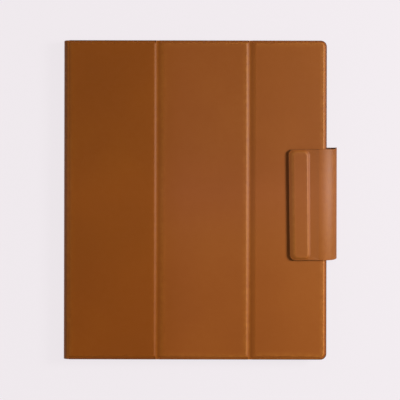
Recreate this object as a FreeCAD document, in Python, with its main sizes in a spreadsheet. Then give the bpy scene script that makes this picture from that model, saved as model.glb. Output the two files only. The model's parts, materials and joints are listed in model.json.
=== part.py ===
"""An e-reader in a leather folio with a folding cover and a clasp flap, closed and lying on its back.

The folio lies with its back panel on the table and its front cover over the screen.
X runs from the spine to the clasp flap, Y runs up the page and Z points out of the screen.
The origin is the middle of the back panel's outer face.  All sizes are in millimetres.
"""
import FreeCAD, Part
import Sketcher
import os
import re

doc = FreeCAD.newDocument("Reader")

# ---------------------------------------------------------------- driving sizes

SIZES = [
    ("reader_width", 183.0, "reader across"),
    ("reader_height", 225.0, "reader up the page"),
    ("reader_depth", 6.7, "reader through"),
    ("side_overhang", 3.25, "folio past the reader at the spine and at the fore edge"),
    ("end_overhang", 2.5, "folio past the reader at its head and foot"),
    ("leather", 0.8, "thickness of the outer leather"),
    ("lining", 0.4, "thickness of the microfibre lining"),
    ("cover_board", 1.0, "board inside each front panel"),
    ("back_board", 1.2, "board inside the back panel"),
    ("board_rim", 2.0, "leather round the edge of a board"),
    ("cover_gap", 0.3, "air between the closed cover and what it lies on"),
    ("fold_radius", 3.5, "outer radius of the folds at the spine and the flap"),
    ("fold_play", 0.2, "room that a rigid wall leaves its fold when it lies flat"),
    ("edge_margin", 1.8, "head and foot edges to the flat top of a raised panel"),
    ("fore_margin", 2.6, "fore edge to the flat top of the raised panel"),
    ("pad_slope", 1.5, "width of the sloped side of a raised panel"),
    ("pad_foot", 0.2, "upright foot of a raised pad's side"),
    ("pad_corner", 2.0, "corner radius of a raised panel beside a crease or the spine"),
    ("cover_corner", 4.3, "corner radius at the fore edge"),
    ("inner_panel_width", 62.6, "panel beside the spine, up to its crease"),
    ("outer_panel_width", 53.65, "panel at the fore edge, from its crease"),
    ("inner_crease_width", 2.7, "bare leather in the crease nearer the spine"),
    ("outer_crease_width", 2.9, "bare leather in the crease nearer the fore edge"),
    ("flap_reach", 6.95, "how far the flap's bridge stands out of the fore edge"),
    ("flap_length", 80.1, "clasp flap along the fore edge"),
    ("flap_middle", -3.35, "middle of the flap along the fore edge"),
    ("flap_overlap", 27.75, "how far the flap reaches over the cover"),
    ("flap_corner", 4.0, "corner radius of the flap"),
    ("flap_pad_inset", 4.0, "flap's free edge to the flat top of its magnet pad"),
    ("flap_pad_width", 9.3, "flat top of the magnet pad across"),
    ("flap_pad_margin", 2.4, "flap's ends to the flat top of its magnet pad"),
    ("flap_pad_slope", 2.0, "width of the sloped side of the magnet pad"),
    ("flap_pad_corner", 2.6, "corner radius of the magnet pad"),
    ("magnet_thick", 1.2, "clasp magnets and the magnets that hold the reader"),
    ("magnet_play", 0.1, "room round a magnet"),
    ("clasp_magnet_long", 22.0, "one clasp magnet along the flap"),
    ("clasp_magnet_wide", 6.5, "one clasp magnet across the flap"),
    ("clasp_magnet_pitch", 25.0, "spacing of the clasp magnets"),
    ("hold_magnet_long", 70.0, "one holding magnet along the reader"),
    ("hold_magnet_wide", 3.6, "one holding magnet across"),
    ("hold_magnet_inset", 3.2, "reader's side to its holding magnet"),
    ("stand_magnet_inset", 6.0, "spine's edge to the magnet that closes the folded stand"),
    ("stand_magnet_wide", 4.0, "that magnet across"),
    ("stand_magnet_long", 60.0, "that magnet along the cover"),
    ("wake_magnet", 4.0, "side of the magnet that wakes the reader"),
    ("wake_side_inset", 20.0, "side of the main board to the middle of the waking magnet"),
    ("wake_foot_inset", 5.0, "lower edge of the main board to the middle of the waking magnet"),
    ("reader_corner", 7.0, "corner radius of the reader"),
    ("reader_rim", 1.8, "rounding of the shell's back edge"),
    ("shell_floor", 1.0, "back wall of the shell"),
    ("shell_wall", 1.2, "side wall of the shell"),
    ("shell_ledge", 1.2, "ledge inside the side wall"),
    ("shell_lip", 0.3, "how far the front frame stands above the shell"),
    ("seat_play", 0.1, "room round the pieces seated in the shell"),
    ("chassis_thick", 0.5, "stamped plate behind the screen"),
    ("pen_sensor_thick", 0.4, "pen sensor board"),
    ("paper_thick", 0.8, "electronic paper panel"),
    ("guide_thick", 0.4, "front light guide"),
    ("touch_thick", 0.2, "touch film"),
    ("glass_thick", 0.6, "front glass"),
    ("window_side", 8.0, "reader's flap side to the window in the front frame"),
    ("window_grip", 16.8, "reader's spine side to the window"),
    ("window_end", 7.2, "reader's head and foot to the window"),
    ("window_corner", 1.5, "corner radius of the window"),
    ("window_overlap", 1.5, "how far the screen layers run under the frame"),
    ("frame_rim", 1.5, "skirt of the front frame"),
    ("light_strip_wide", 2.0, "light strip below the guide"),
    ("battery_thick", 2.5, "one cell through"),
    ("battery_split", 6.0, "room between the two cells"),
    ("battery_side_gap", 6.1, "room between the side wall and the cells"),
    ("battery_foot_gap", 28.0, "room between the charging board and the cells"),
    ("battery_head_gap", 15.0, "room between the cells and the main board"),
    ("board_side_gap", 9.1, "room between the side wall and the main circuit board"),
    ("board_head_gap", 4.1, "room between the end wall and the main circuit board"),
    ("board_tall", 48.0, "main circuit board up the page"),
    ("board_thick", 0.8, "circuit boards"),
    ("standoff", 0.8, "height of the pillars under the main board"),
    ("can_thick", 1.0, "shield cans on the main board"),
    ("can_wide", 30.0, "one shield can across"),
    ("can_tall", 22.0, "one shield can up the page"),
    ("can_pitch", 42.0, "spacing of the shield cans"),
    ("chip_thick", 0.9, "small parts on the main board"),
    ("ribbon", 0.2, "flat ribbon cables"),
    ("ribbon_wide", 5.0, "power ribbons"),
    ("ribbon_run", 6.0, "how far the screen ribbon reaches past the paper panel"),
    ("screw_row", 4.6, "reader's side to a row of screws"),
    ("screw_inner_place", 50.0, "height of the inner screws from the middle"),
    ("screw_end_inset", 22.5, "reader's head and foot to the end screws"),
    ("screw_shank", 0.7, "radius of a screw's shank"),
    ("screw_head", 1.2, "radius of a screw's head"),
    ("screw_head_thick", 0.6, "thickness of a screw's head"),
    ("screw_length", 2.6, "a screw below its head"),
    ("screw_play", 0.05, "room round a screw's shank"),
    ("pillar", 1.8, "radius of the pillars in the shell"),
    ("button_side_gap", 12.1, "room between the side wall and the power button"),
    ("button_wide", 14.0, "power button along the edge"),
    ("button_tall", 1.8, "power button through"),
    ("button_rise", 0.4, "how far the power button stands out"),
    ("button_play", 0.1, "room round the power button"),
    ("button_lip", 0.8, "button's flange past the ends of its cap"),
    ("button_stop", 0.2, "button's flange above and below its cap"),
    ("button_flange", 0.4, "thickness of the button's flange"),
    ("button_travel", 0.3, "travel of the power button"),
    ("edge_line", 2.6, "height of the button and the socket above the reader's back"),
    ("switch_wide", 6.0, "switch behind the button"),
    ("switch_deep", 4.2, "switch, front to back"),
    ("light_pitch", 12.0, "middle of the power button to the status light"),
    ("light_radius", 0.6, "radius of the status light's pipe"),
    ("light_play", 0.05, "room round the light pipe"),
    ("light_long", 5.3, "length of the light pipe"),
    ("socket_wide", 9.0, "charging socket's can across"),
    ("socket_tall", 3.1, "charging socket's can through"),
    ("socket_deep", 7.3, "charging socket's can, front to back"),
    ("socket_wall", 0.25, "sheet of the socket's can"),
    ("socket_play", 0.06, "room round the socket's can"),
    ("socket_set_back", 0.2, "socket's mouth behind the reader's edge"),
    ("tongue_wide", 6.6, "socket's tongue across"),
    ("tongue_tall", 0.7, "socket's tongue through"),
    ("tongue_set_back", 1.0, "socket's tongue behind the mouth"),
    ("charge_board_wide", 28.0, "charging board across"),
    ("charge_board_tall", 15.0, "charging board up the page"),
    ("speaker_side_gap", 14.1, "room between the side wall and a speaker"),
    ("speaker_wide", 30.0, "speaker across"),
    ("speaker_tall", 13.0, "speaker up the page"),
    ("speaker_thick", 2.6, "speaker through"),
    ("sound_hole", 0.6, "radius of a sound hole"),
    ("sound_pitch", 3.0, "spacing of the sound holes"),
    ("talk_place", 30.0, "middle of the microphone's hole"),
    ("antenna_wide", 40.0, "aerial across"),
    ("antenna_tall", 3.5, "aerial up the page"),
]

sheet = doc.addObject("Spreadsheet::Sheet", "Sizes")
for row, (name, number, meaning) in enumerate(SIZES, start=1):
    sheet.set(f"A{row}", name)
    sheet.set(f"B{row}", str(number))
    sheet.setAlias(f"B{row}", name)
    sheet.set(f"C{row}", meaning)
doc.recompute()

# Places that several pieces share, worked out from the driving sizes.
PLACES = {
    # the folio's cover goes round the reader
    "cover_width": "reader_width + 2 * side_overhang",
    "cover_height": "reader_height + 2 * end_overhang",
    # levels of the folio, from the table up
    "skin": "leather + lining",
    "back_top": "leather + back_board + lining",
    "cover_bottom": "back_top + reader_depth + cover_gap",
    "cover_skin": "cover_bottom + lining",
    "crease_top": "cover_skin + leather",
    "panel_top": "crease_top + cover_board",
    "flap_bottom": "panel_top + cover_gap",
    "flap_skin": "flap_bottom + lining",
    "flap_crease_top": "flap_skin + leather",
    # the folio in plan
    "fore_edge": "cover_width / 2",
    "head": "cover_height / 2",
    "spine_face": "-cover_width / 2",
    "spine_edge": "spine_face + fold_radius",
    "bridge_face": "fore_edge + flap_reach",
    "flap_edge": "bridge_face - fold_radius",
    "flap_free": "fore_edge - flap_overlap",
    "flap_low": "flap_middle - flap_length / 2",
    "pad_head": "head - edge_margin + pad_slope",
    "fore_foot": "fore_edge - fore_margin + pad_slope",
    "inner_crease_left": "spine_edge + inner_panel_width",
    "inner_crease_right": "inner_crease_left + inner_crease_width",
    "outer_crease_right": "fore_edge - outer_panel_width",
    "outer_crease_left": "outer_crease_right - outer_crease_width",
    # height of the wall between two folds: the shift lets the opened sheet lie on its raised panels
    "spine_shift": "cover_board / 2",
    "spine_wall_low": "fold_radius + spine_shift + fold_play",
    "spine_wall_high": "crease_top - fold_radius",
    "flap_shift": "magnet_thick / 2",
    "bridge_low": "fold_radius + flap_shift + fold_play",
    "bridge_high": "flap_crease_top - fold_radius",
    "flap_pad_left": "flap_free + flap_pad_inset",
    "clasp_line": "flap_pad_left + flap_pad_width / 2",
    "hold_line": "reader_width / 2 - hold_magnet_inset - hold_magnet_wide / 2",
    # levels of the reader
    "reader_back": "back_top",
    "reader_top": "back_top + reader_depth",
    "floor_top": "reader_back + shell_floor",
    "glass_bottom": "reader_top - glass_thick",
    "touch_bottom": "glass_bottom - touch_thick",
    "guide_bottom": "touch_bottom - guide_thick",
    "paper_bottom": "guide_bottom - paper_thick",
    "sensor_bottom": "paper_bottom - pen_sensor_thick",
    "chassis_bottom": "sensor_bottom - chassis_thick",
    "edge_level": "reader_back + edge_line",
    "board_bottom": "floor_top + standoff",
    "board_top": "board_bottom + board_thick",
    # the reader in plan
    "reader_side": "reader_width / 2",
    "reader_head": "reader_height / 2",
    "seat_side": "reader_side - shell_wall",
    "seat_head": "reader_head - shell_wall",
    "room_side": "seat_side - shell_ledge",
    "room_head": "seat_head - shell_ledge",
    "window_left": "window_grip - reader_side",
    "window_width": "reader_width - window_grip - window_side",
    "window_height": "reader_height - 2 * window_end",
    "screen_left": "window_left - window_overlap",
    "screen_width": "window_width + 2 * window_overlap",
    "screen_height": "window_height + 2 * window_overlap",
    "screw_line": "reader_side - screw_row",
    "screw_outer_place": "reader_head - screw_end_inset",
    "board_side": "room_side - board_side_gap",
    "board_head": "room_head - board_head_gap",
    "board_low": "board_head - board_tall",
    "wake_place_x": "board_side - wake_side_inset",
    "wake_place_y": "board_low + wake_foot_inset",
    "battery_wide": "room_side - battery_side_gap - battery_split / 2",
    "battery_low": "charge_board_head + battery_foot_gap",
    "battery_head": "board_low - battery_head_gap",
    "speaker_place": "room_side - speaker_side_gap - speaker_wide / 2",
    "socket_mouth": "socket_set_back - reader_head",
    "socket_back": "socket_mouth + socket_deep",
    "charge_board_bottom": "edge_level - board_thick / 2",
    "charge_board_head": "socket_back + charge_board_tall",
    "button_place": "button_side_gap + button_wide / 2 - room_side",
    "light_place": "button_place + light_pitch",
    "button_back": "room_head - button_play",
}


def worked_out(formula):
    """Write a formula in the sheet's cells alone, with each shared place put in full."""

    def put(match):
        word = match.group()
        if word in PLACES:
            return "(" + worked_out(PLACES[word]) + ")"
        return "Sizes." + word

    return re.sub(r"[a-z][a-z_]+(?!\w*\()", put, formula)


def number(name):
    """A size as the sheet holds it now."""
    return float(sheet.get(name))


def bind(item, **formulas):
    """Bind properties of an object to formulas; x, y and z stand for its place."""
    for name, formula in formulas.items():
        if name in ("x", "y", "z"):
            name = "Placement.Base." + name
        item.setExpression(name, worked_out(formula))
    return item


# ---------------------------------------------------------------- ways of making pieces

# A length below this counts as nothing when edges are picked.
FINE = 1e-6


def block(name, x, y, z):
    """A box; x, y and z are each the start and the length along that axis."""
    box = doc.addObject("Part::Box", name)
    bind(box, x=x[0], y=y[0], z=z[0], Length=x[1], Width=y[1], Height=z[1])
    return box


def rod(name, centre, length, radius, along="z"):
    """A cylinder that starts at centre and runs along +Z or +Y."""
    cylinder = doc.addObject("Part::Cylinder", name)
    if along == "y":
        turn = FreeCAD.Rotation(FreeCAD.Vector(1, 0, 0), -90)
        cylinder.Placement = FreeCAD.Placement(FreeCAD.Vector(), turn)
    bind(cylinder, x=centre[0], y=centre[1], z=centre[2], Height=length, Radius=radius)
    return cylinder


def together(name, pieces):
    """Separate solids kept as one node."""
    group = doc.addObject("Part::Compound", name)
    group.Links = pieces
    return group


def joined(name, pieces):
    """Touching or overlapping solids made one."""
    fuse = doc.addObject("Part::MultiFuse", name)
    fuse.Shapes = pieces
    fuse.Refine = True
    return fuse


def without(name, base, tools):
    """A piece with other shapes cut out of it."""
    cut = doc.addObject("Part::Cut", name)
    cut.Base = base
    cut.Tool = tools[0] if len(tools) == 1 else joined(name + "_cuts", tools)
    return cut


def draw_rectangle(sketch, left, low, wide, high):
    """A rectangle held by its lower left corner, its width and its height."""
    first = sketch.GeometryCount
    corners = [FreeCAD.Vector(0, 0, 0), FreeCAD.Vector(1, 0, 0)]
    corners += [FreeCAD.Vector(1, 1, 0), FreeCAD.Vector(0, 1, 0)]
    for start, end in zip(corners, corners[1:] + corners[:1]):
        sketch.addGeometry(Part.LineSegment(start, end))
    for side in range(4):
        after = first + (side + 1) % 4
        sketch.addConstraint(Sketcher.Constraint("Coincident", first + side, 2, after, 1))
    for side in (0, 2):
        sketch.addConstraint(Sketcher.Constraint("Horizontal", first + side))
        sketch.addConstraint(Sketcher.Constraint("Vertical", first + side + 1))
    held = [
        ("DistanceX", (-1, 1, first, 1), left),
        ("DistanceY", (-1, 1, first, 1), low),
        ("DistanceX", (first, 1, first, 2), wide),
        ("DistanceY", (first + 1, 1, first + 1, 2), high),
    ]
    for kind, ends, formula in held:
        index = sketch.addConstraint(Sketcher.Constraint(kind, *ends, 1.0))
        bind(sketch, **{f"Constraints[{index}]": formula})


def plan_sketch(body, name, level, rectangle):
    """A rectangle drawn on the body's own XY plane, raised to a level."""
    sketch = body.newObject("Sketcher::SketchObject", name)
    plane = next(face for face in body.Origin.OriginFeatures if face.Role == "XY_Plane")
    sketch.AttachmentSupport = [(plane, "")]
    sketch.MapMode = "FlatFace"
    bind(sketch, **{"AttachmentOffset.Base.z": level})
    draw_rectangle(sketch, *rectangle)
    return sketch


def pad(body, name, level, rectangle, height):
    """A rectangle padded upwards from a level."""
    feature = body.newObject("PartDesign::Pad", name)
    feature.Profile = plan_sketch(body, name + "_sketch", level, rectangle)
    bind(feature, Length=height)
    doc.recompute()
    return feature


def round_edges(body, name, radius, chosen):
    """Round the edges of the body's tip that the rule picks."""
    tip = body.Tip
    picked = [f"Edge{i}" for i, edge in enumerate(tip.Shape.Edges, start=1) if chosen(edge)]
    feature = body.newObject("PartDesign::Fillet", name)
    feature.Base = (tip, picked)
    bind(feature, Radius=radius)
    doc.recompute()
    return feature


def upright(edge):
    """True for a straight edge along Z."""
    box = edge.BoundBox
    return isinstance(edge.Curve, Part.Line) and max(box.XLength, box.YLength) < FINE


def near_fore_edge(edge):
    """True for an edge in the outer half of the outer panel, or past it."""
    return edge.BoundBox.XMin > fore_edge_place() - number("outer_panel_width") / 2


def fore_edge_place():
    """X of the fore edge."""
    return number("reader_width") / 2 + number("side_overhang")


def upright_at_fore(edge):
    """True for an upright edge at the fore edge."""
    return upright(edge) and near_fore_edge(edge)


def upright_elsewhere(edge):
    """True for an upright edge away from the fore edge."""
    return upright(edge) and not near_fore_edge(edge)


def plate(name, left, low, wide, high, level, thick, corner=None, chosen=upright):
    """A flat piece with rounded corners, as a body of its own."""
    body = doc.addObject("PartDesign::Body", name)
    pad(body, name + "_pad", level, (left, low, wide, high), thick)
    if corner:
        round_edges(body, name + "_corners", corner, chosen)
    return body


def middled(wide, high):
    """Lower left corner, width and height of a rectangle about the origin."""
    return f"-({wide}) / 2", f"-({high}) / 2", wide, high


# ---------------------------------------------------------------- folio: back panel

FULL_HEIGHT = ("-head", "cover_height")


def magnet(name, middle_x, middle_y, wide, long, level, thick, play="0"):
    """A flat magnet about its middle, or its clearance hole where play is given."""
    across = f"({wide} + 2 * {play})"
    along = f"({long} + 2 * {play})"
    return block(name, (f"{middle_x} - {across} / 2", across), (f"{middle_y} - {along} / 2", along),
                 (level, thick))


def hold_magnets(name, level, thick, play="0"):
    """Two long magnets, one down each side of the reader."""
    return [magnet(f"{name}_{i}", side + "hold_line", "0", "hold_magnet_wide", "hold_magnet_long",
                   level, thick, play) for i, side in enumerate(("-", ""))]


def back_panel():
    """Leather pan, board, magnets and lining that the reader lies on."""
    across = "fore_edge - spine_edge"
    floor = plate("back_skin", "spine_edge", "-head", across, "cover_height",
                  "0", "leather + back_board", "cover_corner", upright_at_fore)
    round_edges(floor, "back_skin_rim", "leather / 2", lies_on_table)
    tab = block("flap_tab", ("fore_edge - cover_corner", "flap_edge - fore_edge + cover_corner"),
                ("flap_low", "flap_length"), ("0", "skin"))
    room = block("back_board_room", ("spine_edge + board_rim", "cover_width - fold_radius - 2 * board_rim"),
                 ("board_rim - head", "cover_height - 2 * board_rim"), ("leather", "back_board"))
    without("back_leather", joined("back_skin_and_tab", [floor, tab]), [room])

    board = block("back_board_blank", ("spine_edge + board_rim", "cover_width - fold_radius - 2 * board_rim"),
                  ("board_rim - head", "cover_height - 2 * board_rim"), ("leather", "back_board"))
    without("back_board", board, hold_magnets("back_magnet_room", "leather", "back_board", "magnet_play"))
    together("back_magnets", hold_magnets("back_magnet", "leather", "magnet_thick"))
    plate("back_lining", "spine_edge", "-head", across, "cover_height",
          "leather + back_board", "lining", "cover_corner", upright_at_fore)


def lies_on_table(edge):
    """True for an edge of the outer face, but for the one that meets the spine's fold."""
    box = edge.BoundBox
    straight_at_spine = box.XLength < FINE and box.XMin < 0
    return box.ZMax < FINE and not straight_at_spine


# ---------------------------------------------------------------- folio: folds and walls

# Turn about Y that puts a quarter tube below right, below left, above left or above right.
QUARTERS = {"low_right": 0, "low_left": 90, "high_left": 180, "high_right": 270}


def fold(name, quarter, centre_x, centre_z, low, length, stub):
    """A quarter tube of leather and lining, with a straight stub on the wall side."""
    turn = FreeCAD.Rotation(FreeCAD.Vector(0, 1, 0), QUARTERS[quarter])
    turn = turn * FreeCAD.Rotation(FreeCAD.Vector(1, 0, 0), -90)
    tubes = []
    for part, radius in (("_outside", "fold_radius"), ("_inside", "fold_radius - skin")):
        tube = doc.addObject("Part::Cylinder", name + part)
        tube.Placement = FreeCAD.Placement(FreeCAD.Vector(), turn)
        tube.Angle = 90
        bind(tube, x=centre_x, y=low, z=centre_z, Radius=radius, Height=length)
        tubes.append(tube)
    if stub is None:
        return without(name, tubes[0], [tubes[1]])
    wall_x = f"{centre_x} - fold_radius" if "left" in quarter else f"{centre_x} + fold_radius - skin"
    straight = block(name + "_stub", (wall_x, "skin"), (low, length), (centre_z, stub))
    bend = without(name + "_bend", tubes[0], [tubes[1]])
    return joined(name, [bend, straight])


def spine():
    """The narrow wall between the two folds on the left."""
    fold("spine_back_fold", "low_left", "spine_edge", "fold_radius", *FULL_HEIGHT,
         "spine_wall_low - fold_radius")
    tall = ("spine_wall_low", "spine_wall_high - spine_wall_low")
    block("spine_leather", ("spine_face", "leather"), FULL_HEIGHT, tall)
    block("spine_lining", ("spine_face + leather", "lining"), FULL_HEIGHT, tall)
    fold("spine_front_fold", "high_left", "spine_edge", "spine_wall_high", *FULL_HEIGHT, None)


def flap_walls():
    """The bridge that comes round the fore edge, with its two folds."""
    along = ("flap_low", "flap_length")
    fold("flap_back_fold", "low_right", "flap_edge", "fold_radius", *along, "bridge_low - fold_radius")
    tall = ("bridge_low", "bridge_high - bridge_low")
    block("flap_bridge_leather", ("bridge_face - leather", "leather"), along, tall)
    block("flap_bridge_lining", ("bridge_face - skin", "lining"), along, tall)
    fold("flap_top_fold", "high_right", "flap_edge", "bridge_high", *along, None)


# ---------------------------------------------------------------- folio: front cover


def raised(name, level, rectangle, height, slope, corner, fore_corner=None):
    """A pad with sloping sides on a low upright foot; its corners may be rounder at the fore edge."""
    chosen = upright_elsewhere if fore_corner else upright
    body = plate(name, *rectangle, level, height, corner, chosen)
    if fore_corner:
        round_edges(body, name + "_fore_corners", fore_corner, upright_at_fore)
    tip = body.Tip
    top = max(point.Z for point in tip.Shape.Vertexes) - FINE
    rim = [f"Edge{i}" for i, edge in enumerate(tip.Shape.Edges, start=1) if edge.BoundBox.ZMin > top]
    sides = body.newObject("PartDesign::Chamfer", name + "_sides")
    sides.Base = (tip, rim)
    sides.ChamferType = "Two distances"
    sides.FlipDirection = True
    bind(sides, Size=slope, Size2=f"{height} - pad_foot")
    doc.recompute()
    return body


def panel(name, left, right, foot_right, corner_rule=None, magnets=()):
    """One stiff panel of the cover: leather over a board, with a lining below."""
    wide = f"{right} - ({left})"
    corner = "cover_corner" if corner_rule else None
    turned = plate(name + "_sheet", left, "-head", wide, "cover_height", "cover_skin", "leather",
                   corner, corner_rule)
    foot = (left, "-pad_head", f"{foot_right} - ({left})", "2 * pad_head")
    fore_corner = "cover_corner - edge_margin + pad_slope" if corner_rule else None
    hump = raised(name + "_raised", "crease_top", foot, "cover_board", "pad_slope", "pad_corner",
                  fore_corner)
    board_x = (f"{left} + board_rim", f"{foot_right} - ({left}) - 2 * board_rim")
    board_y = ("board_rim - pad_head", "2 * pad_head - 2 * board_rim")
    board_z = ("cover_skin", "cover_board")
    without(name + "_leather", joined(name + "_skin", [turned, hump]),
            [block(name + "_board_room", board_x, board_y, board_z)])
    board = block(name + "_board" if not magnets else name + "_board_blank", board_x, board_y, board_z)
    if magnets:
        rooms = [magnet(f"{name}_magnet_room_{i}", *place, *board_z, "magnet_play")
                 for i, place in enumerate(magnets)]
        without(name + "_board", board, rooms)
        together(name + "_magnets", [magnet(f"{name}_magnet_{i}", *place, *board_z)
                                     for i, place in enumerate(magnets)])
    plate(name + "_lining", left, "-head", wide, "cover_height", "cover_bottom", "lining",
          corner, corner_rule)


# Middles of the clasp magnets along the flap, and of the keepers under them in the cover.
CLASP_MIDDLES = ("flap_middle - clasp_magnet_pitch", "flap_middle", "flap_middle + clasp_magnet_pitch")
CLASP_SIZE = ("clasp_magnet_wide", "clasp_magnet_long")


def front_cover():
    """Three panels and the two creases between them."""
    stand_magnet = ("spine_edge + stand_magnet_inset", "0", "stand_magnet_wide", "stand_magnet_long")
    keepers = [("clasp_line", middle, *CLASP_SIZE) for middle in CLASP_MIDDLES]
    wake = ("wake_place_x", "wake_place_y", "wake_magnet", "wake_magnet")
    panel("inner_panel", "spine_edge", "inner_crease_left", "inner_crease_left", magnets=[stand_magnet])
    panel("middle_panel", "inner_crease_right", "outer_crease_left", "outer_crease_left")
    panel("outer_panel", "outer_crease_right", "fore_edge", "fore_foot",
          upright_at_fore, magnets=keepers + [wake])
    for crease in ("inner_crease", "outer_crease"):
        block(crease, (crease + "_left", crease + "_width"), FULL_HEIGHT, ("cover_bottom", "skin"))


def on_free_edge(edge):
    """True for an upright edge at the flap's free end."""
    return upright(edge) and edge.BoundBox.XMin < edge_limit()


def edge_limit():
    """X of the middle of the flap, which parts its free corners from those at the fold."""
    return fore_edge_place() - number("flap_overlap") / 2


def clasp_flap():
    """Flap over the cover, with a raised pad that hides three magnets."""
    wide = "flap_edge - flap_free"
    turned = plate("flap_sheet", "flap_free", "flap_low", wide, "flap_length",
                   "flap_skin", "leather", "flap_corner", on_free_edge)
    foot = ("flap_pad_left - flap_pad_slope", "flap_low + flap_pad_margin - flap_pad_slope",
            "flap_pad_width + 2 * flap_pad_slope", "flap_length - 2 * flap_pad_margin + 2 * flap_pad_slope")
    hump = raised("flap_raised", "flap_crease_top", foot, "magnet_thick", "flap_pad_slope",
                  "flap_pad_corner")
    magnets = []
    rooms = []
    for i, middle in enumerate(CLASP_MIDDLES):
        place = ("clasp_line", middle, *CLASP_SIZE, "flap_skin", "magnet_thick")
        magnets.append(magnet(f"clasp_magnet_{i}", *place))
        rooms.append(magnet(f"clasp_room_{i}", *place, "magnet_play"))
    without("flap_leather", joined("flap_blank", [turned, hump]), rooms)
    together("flap_magnets", magnets)
    plate("flap_lining", "flap_free", "flap_low", wide, "flap_length",
          "flap_bottom", "lining", "flap_corner", on_free_edge)


# ---------------------------------------------------------------- reader: shell, chassis and screws


def screw_places():
    """Names and formulas for the eight screws down the two sides."""
    heights = ("-screw_outer_place", "-screw_inner_place", "screw_inner_place", "screw_outer_place")
    return [(side + "screw_line", height) for side in ("-", "") for height in heights]


def rods(name, places, level, length, radius):
    """Upright cylinders at a list of places."""
    return [rod(f"{name}_{i}", (x, y, level), length, radius) for i, (x, y) in enumerate(places)]


def sound_hole_places():
    """Middles of the sound holes, five to a speaker."""
    return [f"{side}speaker_place + {step} * sound_pitch" for side in ("-", "") for step in range(-2, 3)]


def wall_holes(name, places, low, radius):
    """Cylinders along Y through one end wall of the shell."""
    run = "shell_wall + shell_ledge + 2 * seat_play"
    return [rod(f"{name}_{i}", (x, low, "edge_level"), run, radius, "y") for i, x in enumerate(places)]


def shell():
    """Tray with a ledge for the chassis, pillars for the screws and holes in its end walls."""
    tray = plate("shell_blank", *middled("reader_width", "reader_height"),
                 "reader_back", "reader_depth - shell_lip", "reader_corner")
    round_edges(tray, "shell_blank_rim", "reader_rim", on_shell_back)
    room = plate("shell_room", *middled("2 * room_side", "2 * room_head"),
                 "floor_top", "chassis_bottom - floor_top", "reader_corner - shell_wall - shell_ledge")
    seat = plate("shell_seat", *middled("2 * seat_side", "2 * seat_head"),
                 "chassis_bottom", "reader_depth", "reader_corner - shell_wall")
    foot = "-reader_head - seat_play"
    holes = wall_holes("speaker_hole", sound_hole_places(), foot, "sound_hole")
    holes += wall_holes("talk_hole", ["talk_place"], "room_head - seat_play", "sound_hole")
    holes += wall_holes("light_hole", ["light_place"], "room_head - seat_play", "light_radius + light_play")
    wide = "(socket_wide + 2 * socket_play)"
    tall = "(socket_tall + 2 * socket_play)"
    holes.append(rounded_slot("socket_hole", "0", foot, wide, tall,
                              "shell_wall + shell_ledge + 2 * seat_play"))
    wide = "(button_wide + 2 * button_play)"
    tall = "(button_tall + 2 * button_play)"
    holes.append(rounded_slot("button_hole", "button_place", "room_head - seat_play", wide, tall,
                              "shell_wall + shell_ledge + 2 * seat_play"))
    cup = without("shell_cup", tray, [room, seat] + holes)
    pillars = rods("shell_pillar", screw_places(), "floor_top", "chassis_bottom - floor_top", "pillar")
    pillars += rods("board_pillar", board_pillar_places(), "floor_top", "standoff", "pillar")
    pillars += rods("charge_pillar", charge_pillar_places(), "floor_top",
                    "charge_board_bottom - floor_top", "pillar")
    bores = rods("screw_bore", screw_places(), "chassis_bottom - screw_length",
                 "screw_length + chassis_thick", "screw_shank + screw_play")
    without("reader_shell", joined("shell_and_pillars", [cup] + pillars), bores)


def on_shell_back(edge):
    """True for an edge of the shell's back face."""
    return edge.BoundBox.ZMax < back_of_reader() + FINE


def back_of_reader():
    """Height of the reader's back face above the table."""
    return sum(number(name) for name in ("leather", "back_board", "lining"))


def rounded_slot(name, middle_x, low, wide, tall, depth):
    """A slot with round ends through an end wall: a box between two cylinders."""
    radius = f"{tall} / 2"
    flat = f"({wide} - {tall})"
    pieces = [block(name + "_flat", (f"{middle_x} - {flat} / 2", flat), (low, depth),
                    (f"edge_level - {radius}", tall))]
    for side, sign in (("left", "-"), ("right", "+")):
        centre = (f"{middle_x} {sign} {flat} / 2", low, "edge_level")
        pieces.append(rod(f"{name}_{side}", centre, depth, radius, "y"))
    return joined(name, pieces)


def board_pillar_places():
    """Corners of the main board, set in by a pillar's width."""
    xs = ("2 * pillar - board_side", "board_side - 2 * pillar")
    ys = ("board_low + 2 * pillar", "board_head - 3 * pillar")
    return [(x, y) for x in xs for y in ys]


def charge_pillar_places():
    """Two pillars under the charging board."""
    height = "socket_back + charge_board_tall / 2"
    return [("-charge_board_wide / 4", height), ("charge_board_wide / 4", height)]


def chassis():
    """Stamped plate that carries the screen, with room for the ribbon, socket and screws."""
    blank = plate("chassis_blank", *middled("2 * seat_side - 2 * seat_play", "2 * seat_head - 2 * seat_play"),
                  "chassis_bottom", "chassis_thick", "reader_corner - shell_wall - seat_play")
    level = ("chassis_bottom", "chassis_thick")
    ribbon_slot = block("ribbon_slot", ("screen_left - ribbon_run - 3 * ribbon", "6 * ribbon"),
                        ("board_low + pillar", "board_tall - 3 * pillar"), level)
    notch = block("socket_notch", ("-socket_wide / 2 - 4 * seat_play", "socket_wide + 8 * seat_play"),
                  ("-reader_head", "socket_deep + 4 * seat_play"), level)
    holes = rods("chassis_hole", screw_places(), *level, "screw_shank + 2 * screw_play")
    without("chassis_plate", blank, [ribbon_slot, notch] + holes)
    screws = []
    for i, (x, y) in enumerate(screw_places()):
        shank = rod(f"screw_shank_{i}", (x, y, "sensor_bottom - screw_length"), "screw_length", "screw_shank")
        head = rod(f"screw_head_{i}", (x, y, "sensor_bottom"), "screw_head_thick", "screw_head")
        screws.append(joined(f"screw_{i}", [shank, head]))
    together("chassis_screws", screws)


# ---------------------------------------------------------------- reader: screen and front


def screen_layer(name, level, thick):
    """One layer of the screen, as wide as the window and its overlap."""
    block(name, ("screen_left", "screen_width"), ("-screen_height / 2", "screen_height"), (level, thick))


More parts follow.
